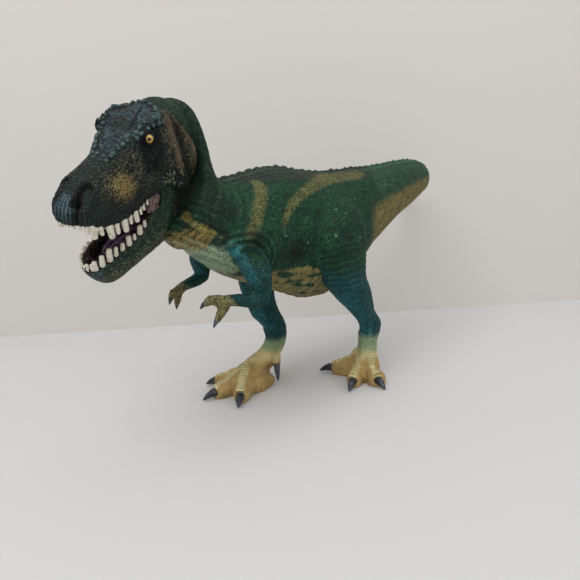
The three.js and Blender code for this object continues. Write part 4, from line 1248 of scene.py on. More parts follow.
# Along, half width and height of each lip's edge, as in the solids and as modelled
UPPER_LIP_SOLID = (
    (10, 13.35, 0.34), (16.8, 12.9, 0.68), (24.5, 12.07, 0.17), (31.9, 11.64, -1.03), (39.6, 11.2, -1.37),
    (45.2, 10.1, -0.34), (49.5, 7.95, 0.86), (51.9, 5.68, 1.88), (53.2, 3.12, 3.6),
)
UPPER_LIP = (
    (12, 13.3, 3.2), (16.8, 12.9, 3.2), (21.5, 12.5, 2.6), (25.7, 12.1, 1.2), (28.5, 11.9, -0.1),
    (31.9, 11.7, -0.8), (36, 11.5, -1.6), (40, 11.2, -1.8), (43.5, 10.6, -1.7), (46.5, 9.6, -1.0),
    (49.5, 8.0, 0.2), (51.9, 5.7, 0.8), (53.2, 3.1, 0.9),
)
LOWER_LIP_SOLID = (
    (9.3, 8.5, 3.36), (14.9, 8.44, 1.26), (20.6, 8.2, -0.63), (28.1, 8.09, -1.05), (34.5, 7.82, -1.05),
    (40.2, 7.4, -1.05), (45.3, 6.45, -1.26), (48.7, 5.34, -1.79), (50.5, 3.49, -2.94), (51.5, 1.96, -4.83),
)
LOWER_LIP = (
    (9.3, 8.5, 0.5), (12, 8.5, -1.5), (15.5, 8.5, -2.0), (18.6, 8.5, -2.6), (21, 8.6, -3.7),
    (23.5, 8.6, -4.8), (28.2, 8.6, -5.6), (31.7, 8.5, -5.6), (37.2, 8.2, -4.4), (42, 7.8, -3.9),
    (46, 7.0, -3.5), (48.5, 6.2, -3.5), (50.3, 4.9, -3.8), (51.5, 3.3, -3.9), (52.0, 1.8, -3.9),
)


def lip_shift(x: np.ndarray, before: tuple, after: tuple) -> np.ndarray:
    """How far up the lip goes at each x, from the solid's line to the modelled one."""
    old, new = np.array(before), np.array(after)
    return np.interp(x, new[:, 0], new[:, 2]) - np.interp(x, old[:, 0], old[:, 2])


# The gum that fills each jaw's edge behind its lip, in millimetres
GUM_INSET, GUM_RISE, GUM_RADIUS = 1.9, 1.1, 1.3


@dataclass
class Skull:
    """The skull's skin with its brows, crest, eye sockets, cheeks, rims, nostrils and lips."""

    voxel: float = 0.7
    eye_at: tuple[float, float, float] = (20.4, 10.2, 24.3)
    eye_radius: float = 2.2
    cornea_rise: float = 0.05
    lid_radius: float = 2.6
    opening: tuple[float, float, float] = (0.3, 0.95, 0.05)
    gaze: tuple[float, float, float] = (0.66, 0.75, -0.02)
    lid_opening: float = 47.0
    lid_skin: float = 0.3
    face_pitch: float = 0.95
    cheek_pitch: float = 2.0

    def build(self) -> None:
        """Models the skin over the skull, and the eyes in it."""
        line, _ = lip_line(UPPER_LIP_SOLID, GUM_INSET, GUM_RISE)
        gum = rod(line, GUM_RADIUS, HEAD_PLACE, "gum")
        lids = [ball(self.eye_centre(side), (self.lid_radius,) * 3, HEAD_PLACE, "lid") for side in Side]
        skin = joined([copy_of("skull", "skull_form"), gum, *lids], "skull_skin")
        melt(skin, self.voxel)
        skin = largest_part(skin)
        clay = self.clay = Clay(skin, HEAD_PLACE)
        clay.relax(10, 0.8)
        clay.write()
        edit(skin, (bpy.ops.mesh.subdivide, {"number_cuts": 1, "smoothness": 1.0}))
        clay.read()
        self.bumps = np.zeros(len(clay.points))
        self.beaded = np.zeros(len(clay.points))
        self.model_lips()
        self.model_brows()
        self.model_rims()
        self.model_eyelids()
        self.model_snout()
        self.model_hide()
        self.paint()
        dress(skin, HEAD_PAINT.build(), "figure", "head_skin", "skull")
        self.build_eyes()

    def eye_centre(self, side: Side) -> tuple[float, float, float]:
        """The middle of an eyeball."""
        return (self.eye_at[0], side.value * self.eye_at[1], self.eye_at[2])

    def model_lips(self) -> None:
        """Bends the edge of the lip to its curve: high at the corner, low at the front."""
        clay = self.clay
        x, _, z = clay.points.T
        clay.points[:, 2] += lip_shift(x, UPPER_LIP_SOLID, UPPER_LIP) * fade(9.5, 1.5, z) * fade(3, 12, x)
        clay.write()
        # Full cheeks above the lip, and the snout a little fuller at its front
        clay.swell((36, 11, 6), 6, 0.5, mirrored=True)
        clay.swell((52, 3, 5), 4, 0.35, mirrored=True)
        clay.write()

    def bead_line(self, line: list[tuple], pitch: float, radius: float, rise: float, seed: int) -> None:
        """A row of knobbly scales along a line, on both sides of the head.

        Args:
            line: Corners of the line; each is put on the nearest place of the skin.
            pitch: Middle to middle of two scales.
            radius: Their radius.
            rise: How far they stand up.
            seed: Changes their unevenness.
        """
        clay = self.clay
        for side in (1, -1):
            corners = np.array([clay.nearest(corner) for corner in np.array(line, float) * (1, side, 1)])
            passed = np.concatenate([[0], np.cumsum(np.linalg.norm(np.diff(corners, axis=0), axis=1))])
            count = max(2, round(passed[-1] / pitch))
            for number, place in enumerate(np.linspace(0, passed[-1], count)):
                at = np.array([np.interp(place, passed, corners[:, k]) for k in range(3)])
                uneven = hashed(np.array([[number, seed, side + 2]]), seed)[0]
                size = radius * (0.65 + 0.6 * uneven[0])
                at = at + 0.8 * (hashed(np.array([[number, seed, side + 9]]), seed)[0] - 0.5)
                gap = np.linalg.norm(clay.points - clay.nearest(at), axis=1) / size
                dome = np.sqrt(np.clip(1 - gap**2, 0, 1))
                clay.push(rise * (0.75 + 0.5 * uneven[1]) * dome)
                self.bumps = np.maximum(self.bumps, dome**1.6)
                self.beaded = np.maximum(self.beaded, bell(gap, 1.5, 4))

    def model_brows(self) -> None:
        """The brow ridges and the crest round the crown plate, with their rows of scales."""
        clay = self.clay
        for at, reach, rise in (
            ((15, 9.4, 29.8), 3.2, 0.9),
            ((19, 8.8, 28.2), 3.0, 0.9),
            ((23, 7.2, 25.6), 2.8, 0.7),
            ((27, 5.6, 22.6), 2.6, 0.5),
            ((31, 3.8, 19.6), 2.4, 0.35),
            ((21, 3.2, 27.0), 3.2, -0.7),
            ((16, 0, 30.0), 3.5, -0.35),
            ((28, 0, 21.5), 3.0, -0.3),
            # The far brow of the cast sits a little lower than the near one
            ((12.5, -7.5, 31), 6, -1.5),
            ((9.5, -1.5, 32.5), 4.5, 1.3),
        ):
            clay.swell(at, reach, rise, mirrored=at[1] > 0)
        clay.write()
        crest = [(8.4, 0, 32), (8.8, 3.2, 32), (10.2, 6.2, 31.4), (12.6, 8.6, 30.6), (14.5, 9.6, 29.6)]
        brow = [(14.1, 9.9, 30.5), (18.2, 9.5, 28.8), (20.8, 8.2, 27), (22.6, 7.2, 25.2), (24.8, 6.3, 23.6),
                (27, 5.4, 22), (29.3, 4.4, 20.4), (31.6, 3.6, 19), (34.5, 2.9, 17.5)]
        over_eye = [(12.8, 11, 28.6), (16, 11.4, 28.4), (19, 10.8, 27.6), (21.6, 9.8, 26.4), (24, 8.4, 24.6)]
        self.bead_line(crest, 2.0, 1.05, 0.85, 3)
        self.bead_line(brow, 1.9, 1.0, 0.7, 5)
        self.bead_line(over_eye, 2.2, 1.15, 0.6, 7)
        for start, end, count in (((33, 1.6, 18.2), (47, 1.5, 14.4), 9), ((35, 4, 16.8), (46, 3.4, 14), 7)):
            line = [tuple(np.array(start) + (np.array(end) - start) * k / count) for k in range(count + 1)]
            self.bead_line(line, 1.7, 0.85, 0.2, 13 + count)
        clay.write()

    def model_rims(self) -> None:
        """Behind the eye: a tan rim, a dark hollow band and the outer rim before the neck."""
        clay = self.clay
        x, _, z = clay.points.T
        self.front_rim, self.band, self.outer_rim = (
            bell(line_field(folded(clay.points), line)[0], reach)
            for line, reach in (
                ([(10.5, 10.3, 29), (9, 11.6, 25), (8.6, 12.6, 21), (7.4, 13.3, 15), (6.3, 13.6, 10.6)], 1.9),
                ([(5.6, 11.2, 25), (4.6, 12.5, 20), (3.4, 13.2, 14), (1.6, 13.4, 8), (0.6, 13.4, 5)], 2.3),
                ([(4.6, 10, 26.5), (0.6, 11.8, 21.5), (-3.0, 12.5, 15.5), (-4.6, 13, 9), (-5, 13, 3)], 2.0),
            )
        )
        clay.push(0.55 * self.front_rim - 0.9 * self.band + 0.55 * self.outer_rim)
        behind = x - np.interp(z, [3, 9, 15.5, 21.5, 26.5, 31], [-6, -5.4, -3.6, 0.2, 4.2, 8.6])
        clay.push(-1.3 * fade(0.5, -2.5, behind) * fade(12, 20, z))
        clay.write()

    def model_eyelids(self) -> None:
        """Sinks the orbits and wraps lids round the eyeballs."""
        clay = self.clay
        clay.swell((22.5, 12, 22.5), 4.2, -0.5, mirrored=True)
        clay.swell((24.5, 11.5, 19), 4.5, -0.5, mirrored=True)
        clay.write()
        for side in Side:
            centre = np.array(self.eye_centre(side))
            angle, radius = self.around_eye(clay, side, self.opening)
            near = (radius < self.eye_radius + 1.6) & (angle < 100)
            inside = fade(self.lid_opening + 3, self.lid_opening - 3, angle)
            lid = self.eye_radius + self.lid_skin + 0.3 * bell(angle - self.lid_opening - 9, 8)
            wanted = np.where(radius < lid, lid, radius) * (1 - inside) + (self.eye_radius - 0.55) * inside
            wanted = np.where(near & (inside > 0.01), wanted, np.where(near, np.maximum(radius, lid), radius))
            clay.points = centre + (clay.points - centre) * (wanted / (radius + 1e-9))[:, None]
            rings = 0.5 + 0.5 * np.cos(2 * math.pi * radius / 1.15)
            clay.push(-0.16 * rings * fade(2.8, 3.4, radius) * fade(7.5, 4.0, radius))
        clay.write()

    def around_eye(self, clay: Clay, side: Side, heading: tuple) -> tuple[np.ndarray, np.ndarray]:
        """Where points lie round an eye.

        Args:
            clay: The skin or the eyeball.
            side: Which eye.
            heading: The way that counts as straight ahead, for the left eye.

        Returns:
            The angle from the heading, in degrees, and the distance from the eye's middle.
        """
        ahead = np.array(heading) * (1, side.value, 1)
        offset = clay.points - self.eye_centre(side)
        radius = np.linalg.norm(offset, axis=1)
        facing = offset @ (ahead / np.linalg.norm(ahead)) / (radius + 1e-9)
        return np.degrees(np.arccos(np.clip(facing, -1, 1))), radius

    def model_snout(self) -> None:
        """The nostrils and the upright wrinkles round the front of the snout."""
        clay = self.clay
        half = folded(clay.points)
        pit, _ = line_field(half, [(45.6, 5.3, 13.0), (47.8, 5.2, 11), (50.6, 5.0, 8.6)])
        slot, _ = line_field(half[:, ::2], [(45.4, 13.2), (48.2, 11.3), (51.1, 8.4)])
        self.nostril = bell(slot, 1.45, 4) * fade(1.5, 3, half[:, 1])
        clay.push(-1.6 * bell(pit, 1.15) + 0.35 * bell(pit - 2.6, 0.9) * fade(13.5, 12, half[:, 2]))
        fold, _ = line_field(half, [(50.4, 4.9, 8), (52, 4.9, 5.4), (52.4, 4.9, 2.6)])
        self.fold = bell(fold, 1.1)
        clay.push(-0.6 * self.fold)
        clay.write()
        x, y, z = clay.points.T
        turn = np.arctan2(y, x - 42) * 10.5
        self.waves = np.sin(2 * math.pi * turn / 1.35 + 1.8 * cloud(clay.points, 3, 61))
        self.creases = fade(40, 48, x) * fade(13, 7, z) * fade(-0.8, 1.2, z)
        along = np.sin(2 * math.pi * x / 1.9 + 1.8 * cloud(clay.points, 5, 63))
        above_lip = z - np.interp(x, [12, 28, 53], [3, 0, 0])
        lip_creases = fade(42, 36, x) * fade(5.5, 1.5, above_lip) * (z < 8)
        clay.push(0.17 * self.waves * self.creases + 0.12 * along * lip_creases)
        clay.write()

    def model_hide(self) -> None:
        """The pebbled face, the big scales of the cheek corner and the plates of the crown."""
        clay = self.clay
        p = clay.points
        x, _, z = p.T
        outside = 1 - self.inside_mouth()
        _, edge, _ = cells(p, self.face_pitch, 17)
        fine = fade(0.0, 0.45, edge)
        first, wide, _ = cells(p, self.cheek_pitch, 19)
        coarse = fade(0.02, 0.34, wide) * (1 - 0.35 * first**2)
        cheek = 1.6 * blob(p, (9.2, 13.6, 5.6), (4.8, 4, 4.8)) + 0.9 * blob(p, (14.5, 13.4, 9), (4.5, 4, 3.2))
        self.cheek = np.clip(cheek, 0, 1)
        crown = fade(24, 28, z + 0.55 * (x - 17)) * fade(6, 9, x) * 0.35
        relief = fine * (1 - self.cheek) * (1 - crown) + coarse * np.maximum(self.cheek, crown)
        patch = np.clip(blob(p, (18.5, 12.5, 19.5), (4, 4, 6)), 0, 1)
        relief = relief * (1 - 0.4 * patch) + 0.3 * patch
        amount = (0.14 + 0.4 * self.cheek + 0.1 * crown) * (1 - 0.5 * patch) * outside
        clay.push(amount * (relief - 0.6) + outside * 0.12 * cloud(p, 4, 71))
        creased = self.creases * (0.5 + 0.5 * self.waves)
        relief = relief * (1 - 0.6 * self.creases) + 0.6 * creased
        self.relief = relief * (1 - 0.7 * self.beaded) + 0.7 * self.beaded * (0.15 + 0.85 * self.bumps)
        clay.write()
        clay.keep("relief", self.relief)

    def inside_mouth(self) -> np.ndarray:
        """Finds the walls of the mouth.

        Returns:
            1 on the walls, 0 on the skin outside.
        """
        clay = self.clay
        x, y, z = clay.points.T
        lip = np.array(UPPER_LIP)
        half = np.interp(x, lip[:, 0], lip[:, 1]) - 1.1
        half = np.minimum(half, np.sqrt(np.clip(52.4 - x, 0, None)) * 4.2)
        roof = np.interp(x, [-4, 30, 45, 50, 52], [11.4, 10.8, 8.4, 5.8, 3.2])
        inward = fade(0.3, 0.0, clay.normals[:, 1] * np.sign(y) + 0.4 * clay.normals[:, 0] * (x > 45))
        return fade(0.4, -0.3, np.abs(y) - half) * fade(0.5, -0.2, z - roof) * (x > 9) * inward

    def paint(self) -> None:
        """Where each colour of the face lies."""
        clay = self.clay
        p = clay.points
        x, _, z = p.T
        tops = np.clip(0.25 + 0.9 * self.relief, 0, 1)
        plain = 1 - self.bumps
        profile = np.interp(x, [5, 14, 20, 27, 33, 42, 50], [31, 28.5, 26.3, 21.5, 18.5, 15.6, 12])
        crown = fade(-1.5, 2.5, z - profile) * fade(4, 8, x)
        speckle = np.clip(1.2 * blob(p, (28.5, 9, 17), (6, 6, 6)) + blob(p, (37, 8, 12), (9, 6, 7)), 0, 1)
        speckle = np.maximum(speckle, 0.8 * fade(15, 11, x) * (z > 4) + 0.5 * fade(2, 8, z) * (x < 30))
        patch = 2.2 * blob(p, (19.5, 12, 22.5), (4.2, 5, 5.0))
        patch = patch + 2.0 * blob(p, (20.5, 12.6, 16.5), (3.6, 4, 4.0))
        # Painted shade: the nostril pits, the crease below them and the furrow on the crown are painted near
        # black
        furrow, _ = line_field(p, [(8.5, 1.5, 31), (13, 1.2, 30.5), (17.8, 2.6, 28.5), (22, 2.2, 25.5)])
        dark = np.maximum(np.maximum(self.nostril, self.fold * 0.8), 0.8 * bell(furrow, 0.7))
        tan = np.clip(1.25 * blob(p, (34.5, 10, 10.6), (5.2, 6, 4.6)), 0, 1)
        for name, share in (
            ("teal", crown * fade(50, 30, x) * tops * 0.85 * (1 - 0.6 * self.beaded)),
            ("beads", self.bumps * fade(16, 20, z)),
            ("snout_teal", np.clip(blob(p, (53, 0.0, 8.5), (4.0, 4.5, 6.0)) * 1.3, 0, 1) * tops),
            ("tan", tan * (0.45 + 0.55 * tops)),
            ("tan_speckle", speckle * fade(0.35, 0.85, self.relief) * (1 - 0.8 * crown)),
            ("patch", np.clip(patch, 0, 1) * (1 - self.bumps * 0.9)),
            ("rim", np.clip(self.front_rim + self.outer_rim, 0, 1) * plain),
            ("band", self.band),
            ("cheek", self.cheek * fade(0.4, 0.8, self.relief)),
            ("nostril", dark * 1.15),
            ("inside", self.inside_mouth()),
        ):
            clay.keep(name, share)

    def build_eyes(self) -> None:
        """A glossy eyeball in each socket, its pupil where it looks."""
        finish = EyePaint().build()
        for side in Side:
            eye = ball(self.eye_centre(side), (self.eye_radius,) * 3, HEAD_PLACE, f"{side.word}_eyeball")
            modify(eye, "SUBSURF", levels=1, render_levels=1)
            clay = Clay(eye, HEAD_PLACE)
            centre = np.array(self.eye_centre(side))
            angle, _ = self.around_eye(clay, side, self.gaze)
            rise = 1 + self.cornea_rise * fade(42, 10, angle)
            clay.points = centre + (clay.points - centre) * rise[:, None]
            clay.write()
            clay.keep("gaze", angle / 90)
            dress(eye, finish, "figure", "eye", f"{side.word}_eye")


@dataclass
class LowerJaw:
    """The lower jaw's skin with its lips, chin and flanks, and the tongue in it."""

    voxel: float = 0.7
    pitch: float = 0.85
    tongue_voxel: float = 0.45
    tongue_rise: float = 0.35
    groove_depth: float = 0.75
    groove_reach: float = 0.7
    ripple_pitch: float = 2.4
    ripple_rise: float = 0.12

    def build(self) -> None:
        """Models the jaw and the tongue."""
        line, _ = lip_line(LOWER_LIP_SOLID[1:], GUM_INSET, -GUM_RISE)
        gum = rod(line, GUM_RADIUS, JAW_PLACE, "gum")
        skin = joined([copy_of("lower_jaw", "jaw_form"), gum], "lower_jaw_skin")
        melt(skin, self.voxel)
        skin = largest_part(skin)
        clay = self.clay = Clay(skin, JAW_PLACE)
        clay.relax(10, 0.8 * fade(3, 7, clay.points[:, 0]))
        clay.write()
        edit(skin, (bpy.ops.mesh.subdivide, {"number_cuts": 1, "smoothness": 1.0}))
        clay.read()
        self.model_lips()
        self.model_hide()
        self.paint()
        dress(skin, JAW_PAINT.build(), "jaw", "head_skin", "lower_jaw")
        self.build_tongue()

    def model_lips(self) -> None:
        """Bends the lip to its curve and rounds the chin and the flanks."""
        clay = self.clay
        x, _, z = clay.points.T
        clay.points[:, 2] += lip_shift(x, LOWER_LIP_SOLID, LOWER_LIP) * fade(-15, -3, z) * fade(6, 13, x)
        clay.write()
        clay.swell((30, 9.6, -8), 5, 0.4, mirrored=True)
        clay.swell((47, 0, -15), 6, -0.3)
        clay.write()

    def inside_mouth(self) -> np.ndarray:
        """Finds the floor and the walls of the mouth.

        Returns:
            1 on them, 0 on the skin outside.
        """
        clay = self.clay
        x, y, z = clay.points.T
        lip = np.array(LOWER_LIP)
        half = np.interp(x, lip[:, 0], lip[:, 1]) - 1.0
        half = np.minimum(half, np.sqrt(np.clip(51.6 - x, 0, None)) * 3.4)
        within = fade(0.35, -0.3, np.abs(y) - half) * fade(-8.6, -7.6, z)
        return within * (clay.normals[:, 2] > -0.4) * (x > 9)

    def model_hide(self) -> None:
        """Fine scales, and folds that run along the flank below the lip."""
        clay = self.clay
        p = clay.points
        x, y, z = p.T
        outside = 1 - self.inside_mouth()
        _, edge, _ = cells(p, self.pitch, 23)
        relief = fade(0.0, 0.45, edge)
        folds = np.sin(2 * math.pi * (z + 0.25 * x) / 3.2 + 2.2 * cloud(p, 7, 81))
        flank = fade(4, 7, np.abs(y)) * fade(-3, -6, z) * fade(-20, -14, z)
        clay.push(outside * (0.13 * (relief - 0.6) + 0.1 * folds * flank + 0.12 * cloud(p, 5, 83)))
        clay.write()
        self.relief = relief
        clay.keep("relief", relief * (1 - 0.25 * flank) + 0.25 * flank * (0.5 + 0.5 * folds))

    def paint(self) -> None:
        """Teal at the chin, black-green toward the hinge and a paler, tan lower edge."""
        clay = self.clay
        x, _, z = clay.points.T
        tops = np.clip(0.3 + 0.8 * self.relief, 0, 1)
        clay.keep("teal", np.clip(1.3 * blob(clay.points, (52, 0, -8), (5, 7, 5)), 0, 1) * tops)
        clay.keep("rear", fade(26, 10, x))
        clay.keep("under", fade(-5, -12, z + 0.12 * (40 - x)) * tops)
        clay.keep("inside", self.inside_mouth())

    def build_tongue(self) -> None:
        """A rounded tongue with a groove down its middle."""
        tongue = copy_of("tongue", "tongue_flesh")
        melt(tongue, self.tongue_voxel)
        clay = Clay(tongue, JAW_PLACE)
        clay.relax(12)
        x, y, z = clay.points.T
        clay.points[:, 2] += lip_shift(x, LOWER_LIP_SOLID, LOWER_LIP) * fade(-15, -3, z) - 0.2
        clay.write()
        top = fade(0.1, 0.6, clay.normals[:, 2])
        ripples = np.sin(2 * math.pi * x / self.ripple_pitch + 0.3 * y * y)
        groove = self.groove_depth * bell(y, self.groove_reach)
        clay.push(top * (self.tongue_rise - groove + self.ripple_rise * ripples))
        clay.write()
        flesh = Flesh("satin_tongue_paint", "#6a4c74", "#2b1828", 0.32)
        dress(tongue, flesh.build(), "jaw", "tongue", "tongue")


@dataclass
class Mouth:
    """The palate, the gums' teeth and the stretched folds at the corners of the mouth."""

    # Place along the jaw, width and length that shows, from the corner to the front
    upper: tuple[tuple[float, float, float], ...] = (
        (24.6, 1.4, 1.3), (26.4, 1.7, 1.9), (28.3, 1.8, 2.3), (30.6, 3.0, 3.9), (33.5, 2.2, 3.0),
        (36.4, 3.4, 4.5), (39.7, 2.5, 3.8), (42.9, 3.5, 4.7), (45.9, 2.2, 3.0), (48.3, 3.2, 4.6),
        (50.6, 2.0, 3.2), (51.9, 1.6, 2.0), (52.7, 1.4, 1.6),
    )
    lower: tuple[tuple[float, float, float], ...] = (
        (24.6, 2.2, 1.9), (27.8, 3.2, 2.8), (31.3, 2.1, 1.9), (34.6, 3.2, 3.1), (38.1, 2.6, 2.2),
        (41.3, 2.3, 3.2), (44.4, 3.2, 4.4), (47.4, 2.8, 3.9), (49.7, 2.7, 2.8), (51.2, 2.1, 2.0),
    )
    # The right side of the lower row has worn, half hidden teeth
    right_lower_share: float = 0.3
    root: float = 1.6
    lip_inset: float = 1.25
    tip_share: float = 0.74
    tip_round: float = 0.3
    palate_voxel: float = 0.5
    ridge_pitch: float = 2.6
    ridge_rise: float = 0.22
    fold_voxel: float = 0.28
    fold_at: tuple[float, float, float] = (20.2, 9.75, -0.2)
    fold_radii: tuple[float, float, float] = (4.4, 0.75, 4.6)
    fold_lean: float = -38
    crease_pitch: float = 1.7
    crease_rise: float = 0.28

    def build(self) -> None:
        """Models the lining, both rows of teeth and the folds."""
        palate = copy_of("palate", "palate_lining")
        melt(palate, self.palate_voxel)
        clay = Clay(palate, HEAD_PLACE)
        clay.relax(6)
        clay.write()
        down = fade(-0.2, -0.7, clay.normals[:, 2])
        ridges = np.sin(2 * math.pi * clay.points[:, 0] / self.ridge_pitch)
        clay.push(down * (self.ridge_rise * ridges - 0.1))
        clay.write()
        flesh = Flesh("dark_red_mouth_paint", "#3a1518", "#14060a", 0.42)
        dress(palate, flesh.build(), "figure", "mouth_lining", "palate")
        enamel = ToothPaint().build()
        upper = self.row(UPPER_LIP, self.upper, Growth.DOWN, HEAD_PLACE, "upper_teeth_set")
        dress(upper, enamel, "figure", "teeth", "upper_teeth")
        lower = self.row(LOWER_LIP, self.lower, Growth.UP, JAW_PLACE, "lower_teeth_set")
        dress(lower, enamel, "jaw", "teeth", "lower_teeth")
        self.build_folds(Flesh("stretched_cheek_paint", "#75605f", "#241012", 0.45).build())

    def template(self) -> bpy.types.Object:
        """Shapes and rounds a cylinder into one blunt tooth, two long and two across, its tip down.

        Returns:
            The tooth.
        """
        deselect()
        bpy.ops.mesh.primitive_cylinder_add(vertices=10, radius=1.0, depth=2.0, end_fill_type="NGON")
        tooth = bpy.context.object
        activate(tooth)
        bpy.ops.object.mode_set(mode="EDIT")
        bpy.ops.mesh.select_all(action="SELECT")
        bpy.ops.mesh.bisect(plane_co=(0, 0, -0.1), plane_no=(0, 0, 1))
        bpy.ops.object.mode_set(mode="OBJECT")
        for face in tooth.data.polygons:
            face.select = face.center.z < -0.99  # the tip's end
        bpy.ops.object.mode_set(mode="EDIT")
        bpy.ops.mesh.select_mode(type="FACE")
        bpy.ops.transform.resize(value=(self.tip_share, self.tip_share, 1.0))
        bpy.ops.mesh.bevel(offset=self.tip_round, segments=2)
        bpy.ops.mesh.select_mode(type="VERT")
        bpy.ops.object.mode_set(mode="OBJECT")
        modify(tooth, "SUBSURF", levels=1, render_levels=1)
        return tooth

    def row(self, lip: tuple, teeth: tuple, growth: Growth, place: Matrix, name: str) -> bpy.types.Object:
        """A row of teeth round a lip.

        Args:
            lip: The lip's outer edge.
            teeth: Place, width and length of each, alike on both sides.
            growth: Which way they grow.
            place: The frame of the jaw.
            name: The row's name.

        Returns:
            The row as one piece.
        """
        line, out = lip_line(lip, self.lip_inset, 0.0)
        master = self.template()
        parts = []
        spots = [(side, *tooth) for side in (1, -1) for tooth in teeth]
        # The front pair, beside the middle
        _, width, length = teeth[-1]
        spots += [(side, None, width * 0.95, length * 0.92) for side in (1, -1)]
        lean, flare = (-0.12, 0.06) if growth is Growth.DOWN else (-0.3, 0.14)
        for number, (side, along, width, length) in enumerate(spots):
            half = np.nonzero(line[:, 1] * side >= 0)[0]
            if along is None:
                spot = half[np.argmin(np.abs(np.abs(line[half, 1]) - 1.0))]
            else:
                spot = half[np.argmin(np.abs(line[half, 0] - along + 0.9 * (along > 50)))]
            uneven = hashed(np.array([[number, growth.value + 3, 5]]), 29)[0] - 0.5
            axis = np.array([lean, 0, growth.value]) + out[spot] * flare + 0.1 * uneven
            axis /= np.linalg.norm(axis)
            tangent = np.cross(axis, out[spot])
            tangent /= np.linalg.norm(tangent)
            if side < 0:
                length *= 1 + 0.16 * uneven[1] if growth is Growth.DOWN else self.right_lower_share
            whole = length + self.root
            shape = np.eye(4)
            shape[:3, 0] = tangent * width / 2
            shape[:3, 1] = np.cross(tangent, axis) * width * 0.4
            shape[:3, 2] = -axis * whole / 2
            shape[:3, 3] = line[spot] + axis * (whole / 2 - self.root)
            part = master.copy()
            part.data = master.data.copy()
            bpy.context.scene.collection.objects.link(part)
            part.data.transform(to_world(place) @ Matrix(shape.tolist()))
            parts.append(part)
        bpy.data.objects.remove(master)
        row = joined(parts, name)
        edit(row, (bpy.ops.mesh.normals_make_consistent, {"inside": False}))
        return row

    def build_folds(self, finish: bpy.types.Material) -> None:
        """A thin stretched fold of skin at each corner of the mouth.

        Args:
            finish: Their material.
        """
        for side in Side:
            at = (self.fold_at[0], side.value * self.fold_at[1], self.fold_at[2])
            fold = ball(at, self.fold_radii, HEAD_PLACE, f"{side.word}_cheek_fold", tilt=self.fold_lean)
            melt(fold, self.fold_voxel)
            clay = Clay(fold, HEAD_PLACE)
            x, _, z = clay.points.T
            # The creases run down and bend a little with the cheek
            across = 0.75 * x + 0.5 * z + 0.05 * z * z
            clay.push(self.crease_rise * np.sin(2 * math.pi * across / self.crease_pitch))
            clay.write()
            dress(fold, finish, "figure", "mouth_lining")


@dataclass
class Claws:
    """All the claws of the toes and fingers, each with grooved sides."""

    toes: tuple[str, ...] = ("inner", "middle", "outer", "dew", "upper_finger", "lower_finger")
    toe_voxel: float = 0.32
    finger_voxel: float = 0.22
    wear_pitch: float = 2.2
    groove_pitch: float = 1.2
    groove_depth: float = 0.05

    def build(self) -> None:
        """Models each claw over its solid."""
        finish = ClawPaint().build()
        for side, toe in itertools.product(Side, self.toes):
            place = f"{side.word}_{toe}_claw"
            claw = copy_of(place, f"{place}_horn")
            melt(claw, self.finger_voxel if "finger" in place else self.toe_voxel)
            clay = Clay(claw, HERE)
            clay.relax(6)
            clay.write()
            # Painted highlight: where the paler grey-blue goes, in random patches
            clay.keep("wear", cloud(clay.points, self.wear_pitch, 91) * 0.5 + 0.5)
            clay.push(self.groove_depth * cloud(clay.points, self.groove_pitch, 93))
            clay.write()
            dress(claw, finish, "figure", "claw", place)


@dataclass
class HingePin:
    """The moulded pin through the jaw's hinge, left as it is packed, with its own plastic."""

    node: str = "jaw_hinge_pin"

    def build(self) -> None:
        """Gives the packed pin its finish."""
        pin = frame["nodes"][self.node]
        pin.data.materials.clear()
        pin.data.materials.append(PinPlastic().build())


# Finishes of the small parts


@dataclass(frozen=True)
class EyePaint:
    """Gloss enamel over a moulded eyeball: black pupil, amber iris with darker flecks, black rim.
    A clear lacquer gives the sharp small highlight."""

    pupil: float = 18.5
    iris: float = 42.0
    black: str = "#050403"
    amber: tuple[str, str, str] = ("#b8892c", "#e0b64e", "#d3a640")
    rim: str = "#1a1208"

    def build(self) -> bpy.types.Material:
        """Makes the material; the pupil follows the gaze attribute, in quarter turns.

        Returns:
            The material.
        """
        material, tree, shader = new_material("gloss_painted_eye")
        gaze = add_node(tree, "Attribute", attribute_name="gaze").outputs["Fac"]
        rings = add_node(tree, "ValToRGB", {"Fac": gaze})
        stops = rings.color_ramp.elements
        stops[0].position, stops[0].color = 0.0, linear(self.black)
        stops[1].position, stops[1].color = 1.0, linear(self.black)
        angles = (self.pupil - 1.5, self.pupil + 1.5, 28, self.iris - 4, self.iris + 2)
        for angle, colour in zip(angles, (self.black, *self.amber, self.rim)):
            stops.new(angle / 90).color = linear(colour)
        place = add_node(tree, "TexCoord").outputs["Object"]
        flecks = add_node(tree, "TexNoise", {"Vector": place, "Scale": 1 / (0.4 * MM), "Detail": 2.0})
        tone = add_node(tree, "MapRange", {0: flecks, 1: 0.3, 2: 0.7, 3: 0.75, 4: 1.15})
        mixed = add_node(tree, "Mix", {0: 1.0, 6: rings, 7: tone}, **TINT)
        connect(tree, shader, {"Base Color": mixed.outputs[2], "Roughness": 0.18, "Coat Weight": 0.6,
                               "Coat Roughness": 0.08})
        return material


